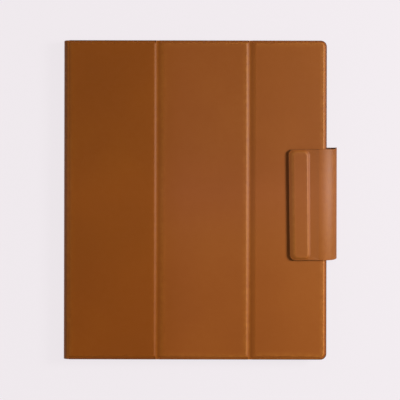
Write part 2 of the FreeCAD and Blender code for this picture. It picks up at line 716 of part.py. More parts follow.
def screen():
    """Frame, glass and the layers below it, down to the chassis."""
    seat = "reader_corner - shell_wall - seat_play"
    blank = plate("frame_blank", *middled("2 * seat_side - 2 * seat_play", "2 * seat_head - 2 * seat_play"),
                  "sensor_bottom", "reader_top - sensor_bottom", seat)
    under = plate("frame_room",
                  *middled("2 * seat_side - 2 * seat_play - 2 * frame_rim",
                           "2 * seat_head - 2 * seat_play - 2 * frame_rim"),
                  "sensor_bottom", "glass_bottom - sensor_bottom", f"{seat} - frame_rim")
    window = plate("frame_window", "window_left", "-window_height / 2", "window_width", "window_height",
                   "sensor_bottom", "reader_depth", "window_corner")
    without("front_frame", blank, [under, window])
    plate("front_glass", "window_left + seat_play", "seat_play - window_height / 2",
          "window_width - 2 * seat_play", "window_height - 2 * seat_play",
          "glass_bottom", "glass_thick", "window_corner - seat_play")
    screen_layer("touch_film", "touch_bottom", "touch_thick")
    screen_layer("light_guide", "guide_bottom", "guide_thick")
    screen_layer("paper_panel", "paper_bottom", "paper_thick")
    screen_layer("pen_sensor", "sensor_bottom", "pen_sensor_thick")
    block("light_strip", ("screen_left", "screen_width"),
          ("-screen_height / 2 - light_strip_wide", "light_strip_wide"), ("guide_bottom", "guide_thick"))
    screen_ribbon()


def screen_ribbon():
    """Ribbon from the paper panel's side, down through the chassis to the main board."""
    along = ("board_low + 2 * pillar", "board_tall - 5 * pillar")
    out = "screen_left - ribbon_run"
    level = "paper_bottom + ribbon"
    upper = block("ribbon_upper", (out, "ribbon_run"), along, (level, "ribbon"))
    drop = block("ribbon_drop", (out, "ribbon"), along, ("board_top", f"{level} + ribbon - board_top"))
    lower = block("ribbon_lower", (out, "ribbon_run"), along, ("board_top", "ribbon"))
    joined("screen_ribbon", [upper, drop, lower])


# ---------------------------------------------------------------- reader: what makes it work


def electronics():
    """Boards, cells, aerial and the small parts on the boards."""
    block("main_board", ("-board_side", "2 * board_side"), ("board_low", "board_tall"),
          ("board_bottom", "board_thick"))
    cans = []
    for i, side in enumerate(("-", "")):
        cans.append(block(f"can_{i}", (f"{side}can_pitch / 2 - can_wide / 2", "can_wide"),
                          ("board_low + board_tall / 2 - can_tall / 2", "can_tall"),
                          ("board_top", "can_thick")))
    together("shield_cans", cans)
    block("magnet_sensor", ("wake_place_x - chip_thick", "2 * chip_thick"),
          ("wake_place_y - chip_thick", "2 * chip_thick"), ("board_top", "chip_thick"))
    block("microphone", ("talk_place - 2 * chip_thick", "4 * chip_thick"),
          ("board_head - 4 * chip_thick", "4 * chip_thick"), ("board_top", "chip_thick"))
    battery_long = ("battery_low", "battery_head - battery_low")
    right = block("cell_right", ("battery_split / 2", "battery_wide"), battery_long,
                  ("floor_top", "battery_thick"))
    left = block("cell_left", ("-battery_split / 2 - battery_wide", "battery_wide"),
                 battery_long, ("floor_top", "battery_thick"))
    together("battery_cells", [left, right])
    leads = []
    for i, side in enumerate(("-", "")):
        leads.append(block(f"lead_{i}", (f"{side}board_side / 2 - ribbon_wide / 2", "ribbon_wide"),
                           ("battery_head", "board_low + ribbon_wide - battery_head"),
                           ("board_top", "ribbon")))
    together("battery_leads", leads)
    block("wireless_aerial", ("-antenna_wide / 2", "antenna_wide"),
          ("room_head - antenna_tall", "antenna_tall"), ("floor_top", "ribbon"))


def sound_and_charging():
    """Speakers, charging socket with its board, and the ribbon to the main board."""
    speakers = []
    for i, side in enumerate(("-", "")):
        middle = f"{side}speaker_place"
        speakers.append(block(f"speaker_{i}", (f"{middle} - speaker_wide / 2", "speaker_wide"),
                              ("seat_play - room_head", "speaker_tall"), ("floor_top", "speaker_thick")))
    together("speakers", speakers)

    can = rounded_slot("socket_can", "0", "socket_mouth", "socket_wide", "socket_tall", "socket_deep")
    mouth = rounded_slot("socket_room", "0", "socket_mouth", "(socket_wide - 2 * socket_wall)",
                         "(socket_tall - 2 * socket_wall)", "socket_deep - socket_wall")
    without("charging_socket", can, [mouth])
    block("socket_tongue", ("-tongue_wide / 2", "tongue_wide"),
          ("socket_mouth + tongue_set_back", "socket_deep - socket_wall - tongue_set_back"),
          ("edge_level - tongue_tall / 2", "tongue_tall"))
    block("charge_board", ("-charge_board_wide / 2", "charge_board_wide"),
          ("socket_back", "charge_board_tall"), ("charge_board_bottom", "board_thick"))
    level = "charge_board_bottom + board_thick"
    upper = block("charge_upper", ("-ribbon_wide / 2", "ribbon_wide"),
                  ("charge_board_head - ribbon_wide", "ribbon_wide + ribbon"), (level, "ribbon"))
    drop = block("charge_drop", ("-ribbon_wide / 2", "ribbon_wide"), ("charge_board_head", "ribbon"),
                 ("floor_top", f"{level} + ribbon - floor_top"))
    run = block("charge_run", ("-ribbon_wide / 2", "ribbon_wide"),
                ("charge_board_head", "board_low - 2 * ribbon - charge_board_head"), ("floor_top", "ribbon"))
    rise = block("charge_rise", ("-ribbon_wide / 2", "ribbon_wide"),
                 ("board_low - 2 * ribbon", "ribbon"), ("floor_top", "board_top + ribbon - floor_top"))
    end = block("charge_end", ("-ribbon_wide / 2", "ribbon_wide"),
                ("board_low - 2 * ribbon", "ribbon_wide"), ("board_top", "ribbon"))
    joined("charge_ribbon", [upper, drop, run, rise, end])


def power_control():
    """Power button with its switch, and the status light beside it."""
    cap = rounded_slot("button_cap", "button_place", "button_back", "button_wide", "button_tall",
                       "reader_head + button_rise - button_back")
    flange = block("button_flange_block", ("button_place - button_wide / 2 - button_lip",
                                           "button_wide + 2 * button_lip"),
                   ("button_back - button_flange", "button_flange"),
                   ("edge_level - button_tall / 2 - button_stop", "button_tall + 2 * button_stop"))
    joined("power_button", [cap, flange])
    block("power_switch", ("button_place - switch_wide / 2", "switch_wide"),
          ("button_back - button_flange - button_travel - button_play / 2 - switch_deep", "switch_deep"),
          ("board_top", "can_thick"))
    rod("status_light", ("light_place", "reader_head - light_long", "edge_level"),
        "light_long", "light_radius", "y")


# ---------------------------------------------------------------- the whole, checked and written

back_panel()
spine()
flap_walls()
front_cover()
clasp_flap()
shell()
chassis()
screen()
electronics()
sound_and_charging()
power_control()
together("reader_magnets", hold_magnets("reader_magnet", "floor_top", "magnet_thick"))

NODES = [
    "back_leather", "back_board", "back_magnets", "back_lining",
    "spine_back_fold", "spine_leather", "spine_lining", "spine_front_fold",
    "inner_panel_leather", "inner_panel_board", "inner_panel_magnets", "inner_panel_lining",
    "inner_crease", "middle_panel_leather", "middle_panel_board", "middle_panel_lining",
    "outer_crease", "outer_panel_leather", "outer_panel_board", "outer_panel_magnets", "outer_panel_lining",
    "flap_back_fold", "flap_bridge_leather", "flap_bridge_lining", "flap_top_fold",
    "flap_leather", "flap_lining", "flap_magnets",
    "reader_shell", "chassis_plate", "chassis_screws", "front_frame", "front_glass",
    "touch_film", "light_guide", "light_strip", "paper_panel", "pen_sensor", "screen_ribbon",
    "main_board", "shield_cans", "magnet_sensor", "microphone", "battery_cells", "battery_leads",
    "wireless_aerial", "speakers", "charging_socket", "socket_tongue", "charge_board", "charge_ribbon",
    "power_button", "power_switch", "status_light", "reader_magnets",
]

doc.recompute()
failed = [item.Name for item in doc.Objects if {"Invalid", "Error"} & set(item.State)]
if failed:
    raise ValueError("these objects failed: " + ", ".join(failed))

os.makedirs("parts", exist_ok=True)
pieces = {name: doc.getObject(name) for name in NODES}
for name, piece in pieces.items():
    if piece.Shape.isNull() or not piece.Shape.isValid() or not piece.Shape.Solids:
        raise ValueError(name + " is not a valid solid")
    piece.Label = name
for name, piece in pieces.items():
    piece.Shape.exportStep(f"parts/{name}.step")
print(len(pieces), "nodes written")
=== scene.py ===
import json
import math
import bpy
import bmesh
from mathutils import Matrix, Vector
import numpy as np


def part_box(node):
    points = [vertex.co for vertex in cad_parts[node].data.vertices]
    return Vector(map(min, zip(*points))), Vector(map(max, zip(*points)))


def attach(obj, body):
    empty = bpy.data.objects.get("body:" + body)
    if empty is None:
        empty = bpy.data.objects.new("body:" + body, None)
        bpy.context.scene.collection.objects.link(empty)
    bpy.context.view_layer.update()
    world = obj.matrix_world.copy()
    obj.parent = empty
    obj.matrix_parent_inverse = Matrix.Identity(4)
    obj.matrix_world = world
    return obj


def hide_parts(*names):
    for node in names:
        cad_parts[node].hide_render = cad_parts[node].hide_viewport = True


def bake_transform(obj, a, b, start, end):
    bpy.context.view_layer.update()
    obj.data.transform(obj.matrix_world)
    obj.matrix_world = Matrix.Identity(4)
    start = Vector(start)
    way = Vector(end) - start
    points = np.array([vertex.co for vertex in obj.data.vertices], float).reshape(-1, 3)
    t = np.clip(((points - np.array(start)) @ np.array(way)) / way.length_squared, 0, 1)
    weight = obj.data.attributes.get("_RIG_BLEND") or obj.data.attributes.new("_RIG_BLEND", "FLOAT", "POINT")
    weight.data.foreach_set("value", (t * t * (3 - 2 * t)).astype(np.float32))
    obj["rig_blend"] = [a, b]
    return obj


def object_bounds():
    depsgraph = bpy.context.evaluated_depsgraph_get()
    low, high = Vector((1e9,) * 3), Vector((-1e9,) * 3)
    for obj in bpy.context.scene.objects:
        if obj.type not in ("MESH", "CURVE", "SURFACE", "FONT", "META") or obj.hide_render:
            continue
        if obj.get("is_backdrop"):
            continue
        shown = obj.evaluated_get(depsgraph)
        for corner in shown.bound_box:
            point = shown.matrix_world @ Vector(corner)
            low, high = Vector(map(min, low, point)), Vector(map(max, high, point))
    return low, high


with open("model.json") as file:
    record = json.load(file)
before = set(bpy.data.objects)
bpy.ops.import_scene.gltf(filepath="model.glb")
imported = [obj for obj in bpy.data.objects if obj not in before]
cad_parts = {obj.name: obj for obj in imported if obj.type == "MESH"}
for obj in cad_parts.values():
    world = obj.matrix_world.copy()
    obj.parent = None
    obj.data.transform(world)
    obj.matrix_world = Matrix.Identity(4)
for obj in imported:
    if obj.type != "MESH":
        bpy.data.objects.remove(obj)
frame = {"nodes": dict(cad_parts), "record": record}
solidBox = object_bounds()
nodes = frame["nodes"]
print("frame loaded:", len(nodes), "solids")

scene = bpy.context.scene
scene.view_settings.view_transform = "Standard"
# meshes are worked in millimetres and brought to metres when they are finished
mm = 0.001
near = 1e-4  # closer than this counts as the same place
weldGap = 1e-5  # vertices closer than this become one
squareCorner = 0.02  # a corner this tight looks square
easeWidth = 0.12  # how far a lining's cut edges are eased
easeSteps, rollSteps, loopSteps, roundSteps = 2, 3, 6, 8  # steps across an edge or round a corner


# small helpers for nodes and meshes

def linearColour(hexCode):
    # sRGB hex to the linear values that nodes take
    parts = [int(hexCode[i:i + 2], 16) / 255 for i in (1, 3, 5)]
    return [c / 12.92 if c <= 0.04045 else ((c + 0.055) / 1.055) ** 2.4 for c in parts] + [1.0]


def addNode(tree, kind, settings=None, links=None):
    # settings go to the node's own fields or else to its sockets, by name or number, with colours as hex;
    # a link comes from an output, or from a node's first output
    node = tree.nodes.new("ShaderNode" + kind)
    for name, value in (settings or {}).items():
        if name == "stops":  # a colour ramp's stops from low to high, each a hex colour or three plain factors
            ramp = node.color_ramp
            while len(ramp.elements) < len(value):
                ramp.elements.new(0.5)
            for element, (place, colour) in zip(ramp.elements, value):
                element.position = place
                element.color = linearColour(colour) if isinstance(colour, str) else (*colour, 1.0)
        elif isinstance(name, str) and hasattr(node, name):
            setattr(node, name, value)
        else:
            node.inputs[name].default_value = linearColour(value) if isinstance(value, str) else value
    for name, source in (links or {}).items():
        output = source if isinstance(source, bpy.types.NodeSocket) else source.outputs[0]
        tree.links.new(output, node.inputs[name])
    return node


def scaleFor(size):
    # a pattern's scale, from the size in millimetres of what it draws
    return 1 / (size * mm)


def startFinish(name):
    material = bpy.data.materials.new(name)
    material.use_nodes = True
    tree = material.node_tree
    tree.nodes.clear()
    place = addNode(tree, "TexCoord").outputs["Object"]
    return material, tree, place


def endFinish(material, shader):
    addNode(material.node_tree, "OutputMaterial", links={"Surface": shader})
    return material


def glossRange(look, low=0.0, high=1.0):
    # how a pattern's values from low to high are read as roughness
    return {"From Min": low, "From Max": high, "To Min": look["smooth"], "To Max": look["rough"]}


def nodeBox(name):
    # lowest and highest corner of a solid, in millimetres
    low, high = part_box(name)
    return Vector(low) / mm, Vector(high) / mm


def nodeWidth(name):
    low, high = nodeBox(name)
    return high.x - low.x


def makeSlab(low, high):
    bm = bmesh.new()
    bmesh.ops.create_cube(bm, size=1.0)
    low, high = Vector(low), Vector(high)
    bmesh.ops.scale(bm, vec=high - low, verts=bm.verts)
    bmesh.ops.translate(bm, vec=(low + high) / 2, verts=bm.verts)
    return bm


def bevelEdges(bm, edges, width, steps):
    if edges:
        bmesh.ops.bevel(bm, geom=edges, offset=width, offset_type="OFFSET", affect="EDGES",
                        segments=steps, profile=0.5, material=-1, clamp_overlap=True)


def isLevel(edge):
    return abs(edge.verts[0].co.z - edge.verts[1].co.z) < near


def cornerEdges(bm, side):
    # upright edges at the outermost x on one side, -1 or 1
    far = max(v.co.x * side for v in bm.verts)
    return [e for e in bm.edges if not isLevel(e) and abs(e.verts[0].co.y - e.verts[1].co.y) < near
            and all(abs(v.co.x * side - far) < near for v in e.verts)]


def addLoop(bm, outline, level, radii):
    # a flat face on a rectangle (x0, x1, y0, y1), its left and right corners rounded
    x0, x1, y0, y1 = outline
    made = bmesh.ops.create_grid(bm, x_segments=1, y_segments=1, size=0.5)["verts"]
    for v in made:
        v.co = (x0 if v.co.x < 0 else x1, y0 if v.co.y < 0 else y1, level)
    sides = [[v for v in made if abs(v.co.x - x) < near] for x in (x0, x1)]
    for corners, radius in zip(sides, radii):
        turned = bmesh.ops.bevel(bm, geom=corners, offset=max(radius, squareCorner), offset_type="OFFSET",
                                 affect="VERTICES", segments=loopSteps, profile=0.5, material=-1)["verts"]
    return max(turned[0].link_faces, key=lambda f: len(f.verts))


def grow(outline, by):
    return [outline[0] - by, outline[1] + by, outline[2] - by, outline[3] + by]


def loftLoops(rings):
    # rings of (outline, level, corner radii, rub with painted highlight, edge paint with painted shade): the
    # first is a cap, drawn out from ring to ring
    bm = bmesh.new()
    rubbed = bm.verts.layers.float.new("rubbed")
    painted = bm.verts.layers.float.new("painted")
    for number, (outline, level, radii, rubAndHighlight, paint) in enumerate(rings):
        if number == 0:
            face = addLoop(bm, outline, level, radii)
        else:
            guide = bmesh.new()
            places = [v.co.copy() for v in addLoop(guide, outline, level, radii).verts]
            guide.free()
            order = {tuple(round(c, 5) for c in v.co): place for v, place in zip(face.verts, places)}
            drawn = bmesh.ops.extrude_face_region(bm, geom=[face])["geom"]
            if number > 1:  # the cap stays and closes the shape
                bmesh.ops.delete(bm, geom=[face], context="FACES_ONLY")
            face = next(item for item in drawn if isinstance(item, bmesh.types.BMFace))
            for v in face.verts:
                v.co = order[tuple(round(c, 5) for c in v.co)]
        for v in face.verts:
            v[rubbed], v[painted] = rubAndHighlight, paint
    return bm


def finishPiece(name, bm, slotName, body, node, angle=38):
    # welds a mesh, turns its faces out and makes it the piece that stands for a solid;
    # a piece that is to be blended gets no body here
    bmesh.ops.remove_doubles(bm, verts=bm.verts, dist=weldGap)
    bmesh.ops.recalc_face_normals(bm, faces=bm.faces)
    if bm.calc_volume(signed=True) < 0:  # a pocketed shape can come out inside out
        bmesh.ops.reverse_faces(bm, faces=bm.faces)
    bmesh.ops.scale(bm, vec=(mm, mm, mm), verts=bm.verts)
    mesh = bpy.data.meshes.new(name)
    bm.to_mesh(mesh)
    bm.free()
    mesh.shade_smooth()
    mesh.set_sharp_from_angle(angle=math.radians(angle))
    mesh.materials.append(slotFinishes[slotName])
    piece = bpy.data.objects.new(name, mesh)
    scene.collection.objects.link(piece)
    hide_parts(node)
    if body:
        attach(piece, body)
    return piece


# finishes of the folio: colours, rub and painted highlight, how smooth, rough and shiny, and the sizes in mm of
# what patterns them
leatherLook = {"deep": "#924f1f", "body": "#955120", "light": "#985422", "rubbed": "#bd7a3c",
               "painted": "#3a2114", "rubAndHighlight": 0.5, "smooth": 0.46, "rough": 0.53, "shine": 0.22,
               "cloud": 60, "mottle": 4, "grain": 0.8, "grainDepth": 0.05, "pore": 0.2,
               "swell": 18, "swellDepth": 0.3}
# painted shade and light across the whole cover, standing in for how the light and its sheen fall across it:
# redder and a little darker over the spine, paler across the middle, darker at the head and over the clasp's
# outer bend, redder at both ends; each axis has where it starts and ends in mm, then the factors that the dye
# is multiplied by on the way
paintedShadeRamps = {
    "X": (-100, 104, [(0.03, (0.89, 0.86, 0.9)), (0.056, (0.86, 0.76, 0.14)), (0.34, (0.87, 0.76, 0.1)),
                      (0.375, (0.94, 0.88, 0.6)), (0.45, (0.97, 0.92, 0.9)), (0.67, (0.95, 0.91, 0.8)),
                      (0.955, (1.0, 1.0, 1.0)), (0.99, (0.72, 0.72, 0.6))]),
    "Y": (-120, 120, [(0.0, (1.0, 0.97, 0.47)), (0.25, (0.98, 0.96, 0.55)), (0.38, (0.98, 0.99, 0.7)),
                      (0.52, (0.99, 1.0, 1.0)), (0.66, (0.9, 0.91, 0.7)), (1.0, (0.88, 0.88, 0.5))]),
}


def makeLeather(name, look):
    # calf leather, drum dyed and lightly finished: warm brown, almost even, with a fine pebbled grain, a soft
    # sheen that spreads wide, ridges and flanks a little paler, partly where hands rub them and partly as a
    # painted highlight where they face the light, edges painted dark, and a painted shade and light across it
    material, tree, place = startFinish(name)
    clouds = addNode(tree, "TexNoise", {"Scale": scaleFor(look["cloud"]), "Detail": 2.0, "Roughness": 0.5},
                     {"Vector": place})
    mottle = addNode(tree, "TexNoise", {"Scale": scaleFor(look["mottle"]), "Detail": 4.0, "Roughness": 0.6},
                     {"Vector": place})
    both = addNode(tree, "Math", {"operation": "MULTIPLY_ADD", 1: 0.3}, {0: mottle, 2: clouds})
    dye = addNode(tree, "ValToRGB",
                  {"stops": [(0.45, look["deep"]), (0.65, look["body"]), (0.85, look["light"])]}, {"Fac": both})
    # painted shade and light across the cover, multiplied into the dye
    axes = addNode(tree, "SeparateXYZ", links={0: place})
    shades = []
    for axis, (start, end, stops) in paintedShadeRamps.items():
        along = addNode(tree, "MapRange", {"From Min": start * mm, "From Max": end * mm},
                        {"Value": axes.outputs[axis]})
        shades.append(addNode(tree, "ValToRGB", {"stops": stops}, {"Fac": along}))
    shade = addNode(tree, "Mix", {"data_type": "RGBA", "blend_type": "MULTIPLY", 0: 1.0},
                    {6: shades[0], 7: shades[1]})
    # a paler colour, partly rub and partly a painted highlight on ridges and flanks that face the light
    rubAndHighlight = addNode(tree, "Attribute", {"attribute_name": "rubbed"})
    patchy = addNode(tree, "MapRange",
                     {"From Min": 0.35, "From Max": 0.65, "To Min": 0.3 * look["rubAndHighlight"], "To Max": look["rubAndHighlight"]},
                     {"Value": mottle})
    rubbed = addNode(tree, "Math", {"operation": "MULTIPLY", "use_clamp": True},
                     {0: rubAndHighlight.outputs["Fac"], 1: patchy})
    paler = addNode(tree, "Mix", {"data_type": "RGBA", 7: look["rubbed"]}, {0: rubbed, 6: dye})
    shadedDye = addNode(tree, "Mix", {"data_type": "RGBA", "blend_type": "MULTIPLY", 0: 1.0},
                   {6: paler.outputs[2], 7: shade.outputs[2]})
    # the dark edge colour: edge paint on cut edges and undersides, and the clasp's painted shade
    paint = addNode(tree, "Attribute", {"attribute_name": "painted"})
    colour = addNode(tree, "Mix", {"data_type": "RGBA", 7: look["painted"]},
                     {0: paint.outputs["Fac"], 6: shadedDye.outputs[2]})
    # pebbles of grain with creases between them, and pores a quarter of their size
    cells = addNode(tree, "TexVoronoi",
                    {"feature": "DISTANCE_TO_EDGE", "Scale": scaleFor(look["grain"]), "Randomness": 0.9},
                    {"Vector": place})
    creases = addNode(tree, "MapRange", {"From Max": 0.16}, {"Value": cells})
    pores = addNode(tree, "TexNoise", {"Scale": scaleFor(look["pore"]), "Detail": 2.0}, {"Vector": place})
    relief = addNode(tree, "Math", {"operation": "MULTIPLY_ADD", 1: 0.3}, {0: pores, 2: creases})
    fine = addNode(tree, "Bump", {"Strength": 0.22, "Distance": look["grainDepth"] * mm}, {"Height": relief})
    swell = addNode(tree, "TexNoise", {"Scale": scaleFor(look["swell"]), "Detail": 2.0}, {"Vector": place})
    uneven = addNode(tree, "Bump", {"Strength": 0.12, "Distance": look["swellDepth"] * mm},
                     {"Height": swell, "Normal": fine})
    gloss = addNode(tree, "MapRange", glossRange(look, 0.3, 0.7), {"Value": mottle})
    shader = addNode(tree, "BsdfPrincipled", {"IOR": 1.5, "Specular IOR Level": look["shine"]},
                     {"Base Color": colour.outputs[2], "Roughness": gloss, "Normal": uneven})
    return endFinish(material, shader)


clothLook = {"dark": "#4a3a2e", "light": "#5f4b3b", "rough": 0.95, "shine": 0.2, "sheen": 0.25,
             "nap": 0.7, "napDepth": 0.1, "stroke": 25}


def makeMicrofibre(name, look):
    # knitted microfibre with a brushed face: matte taupe with a soft nap that goes pale at a glancing angle
    material, tree, place = startFinish(name)
    nap = addNode(tree, "TexNoise", {"Scale": scaleFor(look["nap"]), "Detail": 4.0, "Roughness": 0.7},
                  {"Vector": place})
    strokes = addNode(tree, "TexNoise",
                      {"Scale": scaleFor(look["stroke"]), "Detail": 2.0, "Distortion": 0.6}, {"Vector": place})
    both = addNode(tree, "Math", {"operation": "MULTIPLY_ADD", 1: 0.5}, {0: nap, 2: strokes})
    dye = addNode(tree, "ValToRGB", {"stops": [(0.45, look["dark"]), (1.0, look["light"])]}, {"Fac": both})
    lift = addNode(tree, "Bump", {"Strength": 0.4, "Distance": look["napDepth"] * mm}, {"Height": nap})
    shader = addNode(tree, "BsdfPrincipled",
                     {"Roughness": look["rough"], "Specular IOR Level": look["shine"],
                      "Sheen Weight": look["sheen"], "Sheen Roughness": 0.5},
                     {"Base Color": dye, "Normal": lift})
    return endFinish(material, shader)


slotFinishes = {"tan_leather": makeLeather("drumDyedCalfLeather", leatherLook),
                "lining_cloth": makeMicrofibre("brushedMicrofibre", clothLook)}
print("folio finishes made")


# folio: stiff panels of the cover
panelShape = {"cornerRadius": 4.3, "headMargin": 2.1, "footMargin": 2.8, "foreMargin": 2.6, "foreEase": 0.4,
              "slope": 1.6, "roll": 0.65, "innerCorner": 0.9, "footCorner": 0.3, "headBulge": 0.17,
              "footGap": 0.1, "fadeBand": 0.4, "fadeCorners": (0.8, 1.5), "fadeRubAndHighlight": 0.3, "flatBand": 3.0,
              "flatCorners": (0.5, 0.8), "sideBand": 0.5}
# where each panel's top goes down to a crease or fold: how wide the slope is, at what level it leaves the panel
# and how round it is; then how much rub and painted highlight the left side, the right side and the two ends
# get
panelJoins = {"inner": {"left": (2.4, 11.3, 1.0), "right": (1.6, 11.15, 1.0), "rubAndHighlight": (0.45, 0.45, 0.15)},
              "middle": {"left": (3.4, 11.1, 0.7), "right": (2.0, 10.93, 1.0), "rubAndHighlight": (0.45, 1.5, 0.95)},
              "outer": {"left": (2.4, 11.1, 0.4), "rubAndHighlight": (0.15, 2.0, 1.25)}}
rimShape = {"steps": 4, "lip": 0.06, "fade": 0.85}  # fade is how much of the edge paint is gone at a rim's top
slopeShape = {"steps": 12, "highlightRubAt": 0.75, "highlightRubReach": 0.35}  # a slope's rub and painted highlight are strongest near its shoulder
liningInset = 0.5  # linings are trimmed this far short of the leather


def joinTilt(join, top):
    # how steeply a panel's slope sets off from the edge that it shares with a crease
    wide, level, rounded = join
    return (top - level) / (wide * (1 - rounded * (1 - 2 / math.pi)))


def rimRings(outline, radii, low, high, roll, openSides):
    # a rolled rim from its turned-under edge up and over to the top; closed sides stay straight
    rings = []
    steps = rimShape["steps"]
    for isOver in (False, True):
        for i in range(steps + 1):
            a = math.radians(90 * i / steps)
            if isOver:
                inset, level = roll * (1 - math.cos(a)), high - roll * (1 - math.sin(a))
            else:
                inset, level = roll * (1 - math.sin(a)), low + roll * (1 - math.cos(a))
            paint = 1 - rimShape["fade"] * i / steps if isOver else 1.0
            edges = [edge + inset * inward * isOpen
                     for edge, inward, isOpen in zip(outline, (1, -1, 1, -1), openSides)]
            corners = [max(radius - inset, squareCorner) for radius in radii]
            rings.append((edges, level, corners, 0.0, paint))
    # a close ring at each end keeps the shading of the flats clear of the cut sides
    under, over = [(grow(ring[0], -rimShape["lip"]), *ring[1:]) for ring in (rings[0], rings[-1])]
    return [under] + rings + [over]


def slopeRings(foot, top, footRadii, topRadii, low, high, rubAndHighlight, joins):
    # an S-shaped slope between two outlines: hollow at its foot, rounded at its shoulder;
    # joins gives, for a side that has no hollow foot, the level it starts from and how round it is
    rings = []
    for i in range(slopeShape["steps"] + 1):
        u = i / slopeShape["steps"]
        rise = u * u * (3 - 2 * u)
        level = low + (high - low) * rise
        edges = [a + (b - a) * u for a, b in zip(foot, top)]
        for side, (start, rounded) in joins.items():
            part = min(max((level - start) / (high - start), 0.0), 1.0)
            part += rounded * (math.asin(part) / (math.pi / 2) - part)
            edges[side] = foot[side] + (top[side] - foot[side]) * part
        corners = [a + (b - a) * u for a, b in zip(footRadii, topRadii)]
        rubbed = rubAndHighlight * max(0.0, 1 - abs(u - slopeShape["highlightRubAt"]) / slopeShape["highlightRubReach"])
        rings.append((edges, level, corners, rubbed, 0.0))
    return rings


def flatRings(top, level, shape):
    # on the flat the rub and painted highlight fade out
    return [(grow(top, -shape["fadeBand"]), level, shape["fadeCorners"], shape["fadeRubAndHighlight"], 0.0),
            (grow(top, -shape["flatBand"]), level, shape["flatCorners"], 0.0, 0.0)]


def pocketRings(node, roof, mouth, gap=0.0):
    # the hollow that a board or the magnets lie in, from its roof to its mouth
    low, high = nodeBox(node)
    outline = grow([low.x, high.x, low.y, high.y], gap)
    return [(outline, level, (squareCorner, squareCorner), 0.0, 0.0) for level in (roof, mouth)]


def makePanel(side, joins):
    # leather wrapped over a board, rolled at its open edges and sloped down to the creases
    body = side + "_panel"
    node = body + "_leather"
    low, high = nodeBox(node)
    shape = panelShape
    isFore = "right" not in joins
    sheetTop = nodeBox("inner_crease")[1].z
    rings = pocketRings(body + "_board", nodeBox(body + "_board")[1].z, low.z)
    outline = [low.x, high.x, low.y - shape["headBulge"], high.y + shape["headBulge"]]
    radii = (squareCorner, shape["cornerRadius"] if isFore else squareCorner)
    rings += rimRings(outline, radii, low.z, sheetTop, shape["roll"], (False, isFore, True, True))

    fore = shape["foreMargin"] if isFore else joins["right"][0]
    top = [low.x + joins["left"][0], high.x - fore, low.y + shape["footMargin"], high.y - shape["headMargin"]]
    foot = grow(top, shape["slope"])
    foot[0] = low.x
    if not isFore:
        foot[1] = high.x
    rim = shape["roll"] + shape["footGap"]
    foot[2], foot[3] = low.y + rim, min(foot[3], high.y - rim)
    foreTop = shape["cornerRadius"] - fore + shape["foreEase"] if isFore else shape["innerCorner"]
    foreFoot = foreTop + shape["slope"] if isFore else shape["footCorner"]
    leaves = {number: joins[key][1:] for number, key in enumerate(("left", "right")) if key in joins}
    rings += slopeRings(foot, top, (shape["footCorner"], foreFoot), (shape["innerCorner"], foreTop),
                        sheetTop, high.z, 1.0, leaves)
    rings += flatRings(top, high.z, shape)

    bm = loftLoops(rings)
    rubbed = bm.verts.layers.float["rubbed"]
    leftRubAndHighlight, rightRubAndHighlight, endsRubAndHighlight = joins["rubAndHighlight"]
    leftEnd, rightStart = top[0] + shape["sideBand"], top[1] - shape["sideBand"]
    for v in bm.verts:
        v[rubbed] *= leftRubAndHighlight if v.co.x < leftEnd else rightRubAndHighlight if v.co.x > rightStart else endsRubAndHighlight
    finishPiece(side + "PanelLeather", bm, "tan_leather", body, node, angle=60)


def makeLining(name, body, node, joined, cornerRadius=0.0):
    # brushed lining glued under a panel and trimmed short, save where its side, 0 left or 1 right, joins a fold
    low, high = nodeBox(node)
    left = low.x if 0 in joined else low.x + liningInset
    right = high.x if 1 in joined else high.x - liningInset
    bm = makeSlab((left, low.y + liningInset, low.z), (right, high.y - liningInset, high.z))
    if cornerRadius:
        bevelEdges(bm, cornerEdges(bm, 1), cornerRadius - liningInset, roundSteps)
    seams = [x for x, end in ((left, 0), (right, 1)) if end in joined]
    rims = [e for e in bm.edges
            if isLevel(e) and not any(all(abs(v.co.x - x) < near for v in e.verts) for x in seams)]
    bevelEdges(bm, rims, easeWidth, easeSteps)
    piece = finishPiece(name, bm, "lining_cloth", body, node)


for side, joins in panelJoins.items():
    makePanel(side, joins)
makeLining("innerPanelLining", "inner_panel", "inner_panel_lining", (0, 1))
makeLining("middlePanelLining", "middle_panel", "middle_panel_lining", (0, 1))
makeLining("outerPanelLining", "outer_panel", "outer_panel_lining", (0,), panelShape["cornerRadius"])
print("cover panels made")


# folio: bare leather in the creases and folds
endTilt = 0.6  # a face whose normal has this much of y in it is at an end of a strip
stripAngle = 61  # in degrees: a rolled edge turns by just 60 at its corners, and they are smooth in every run


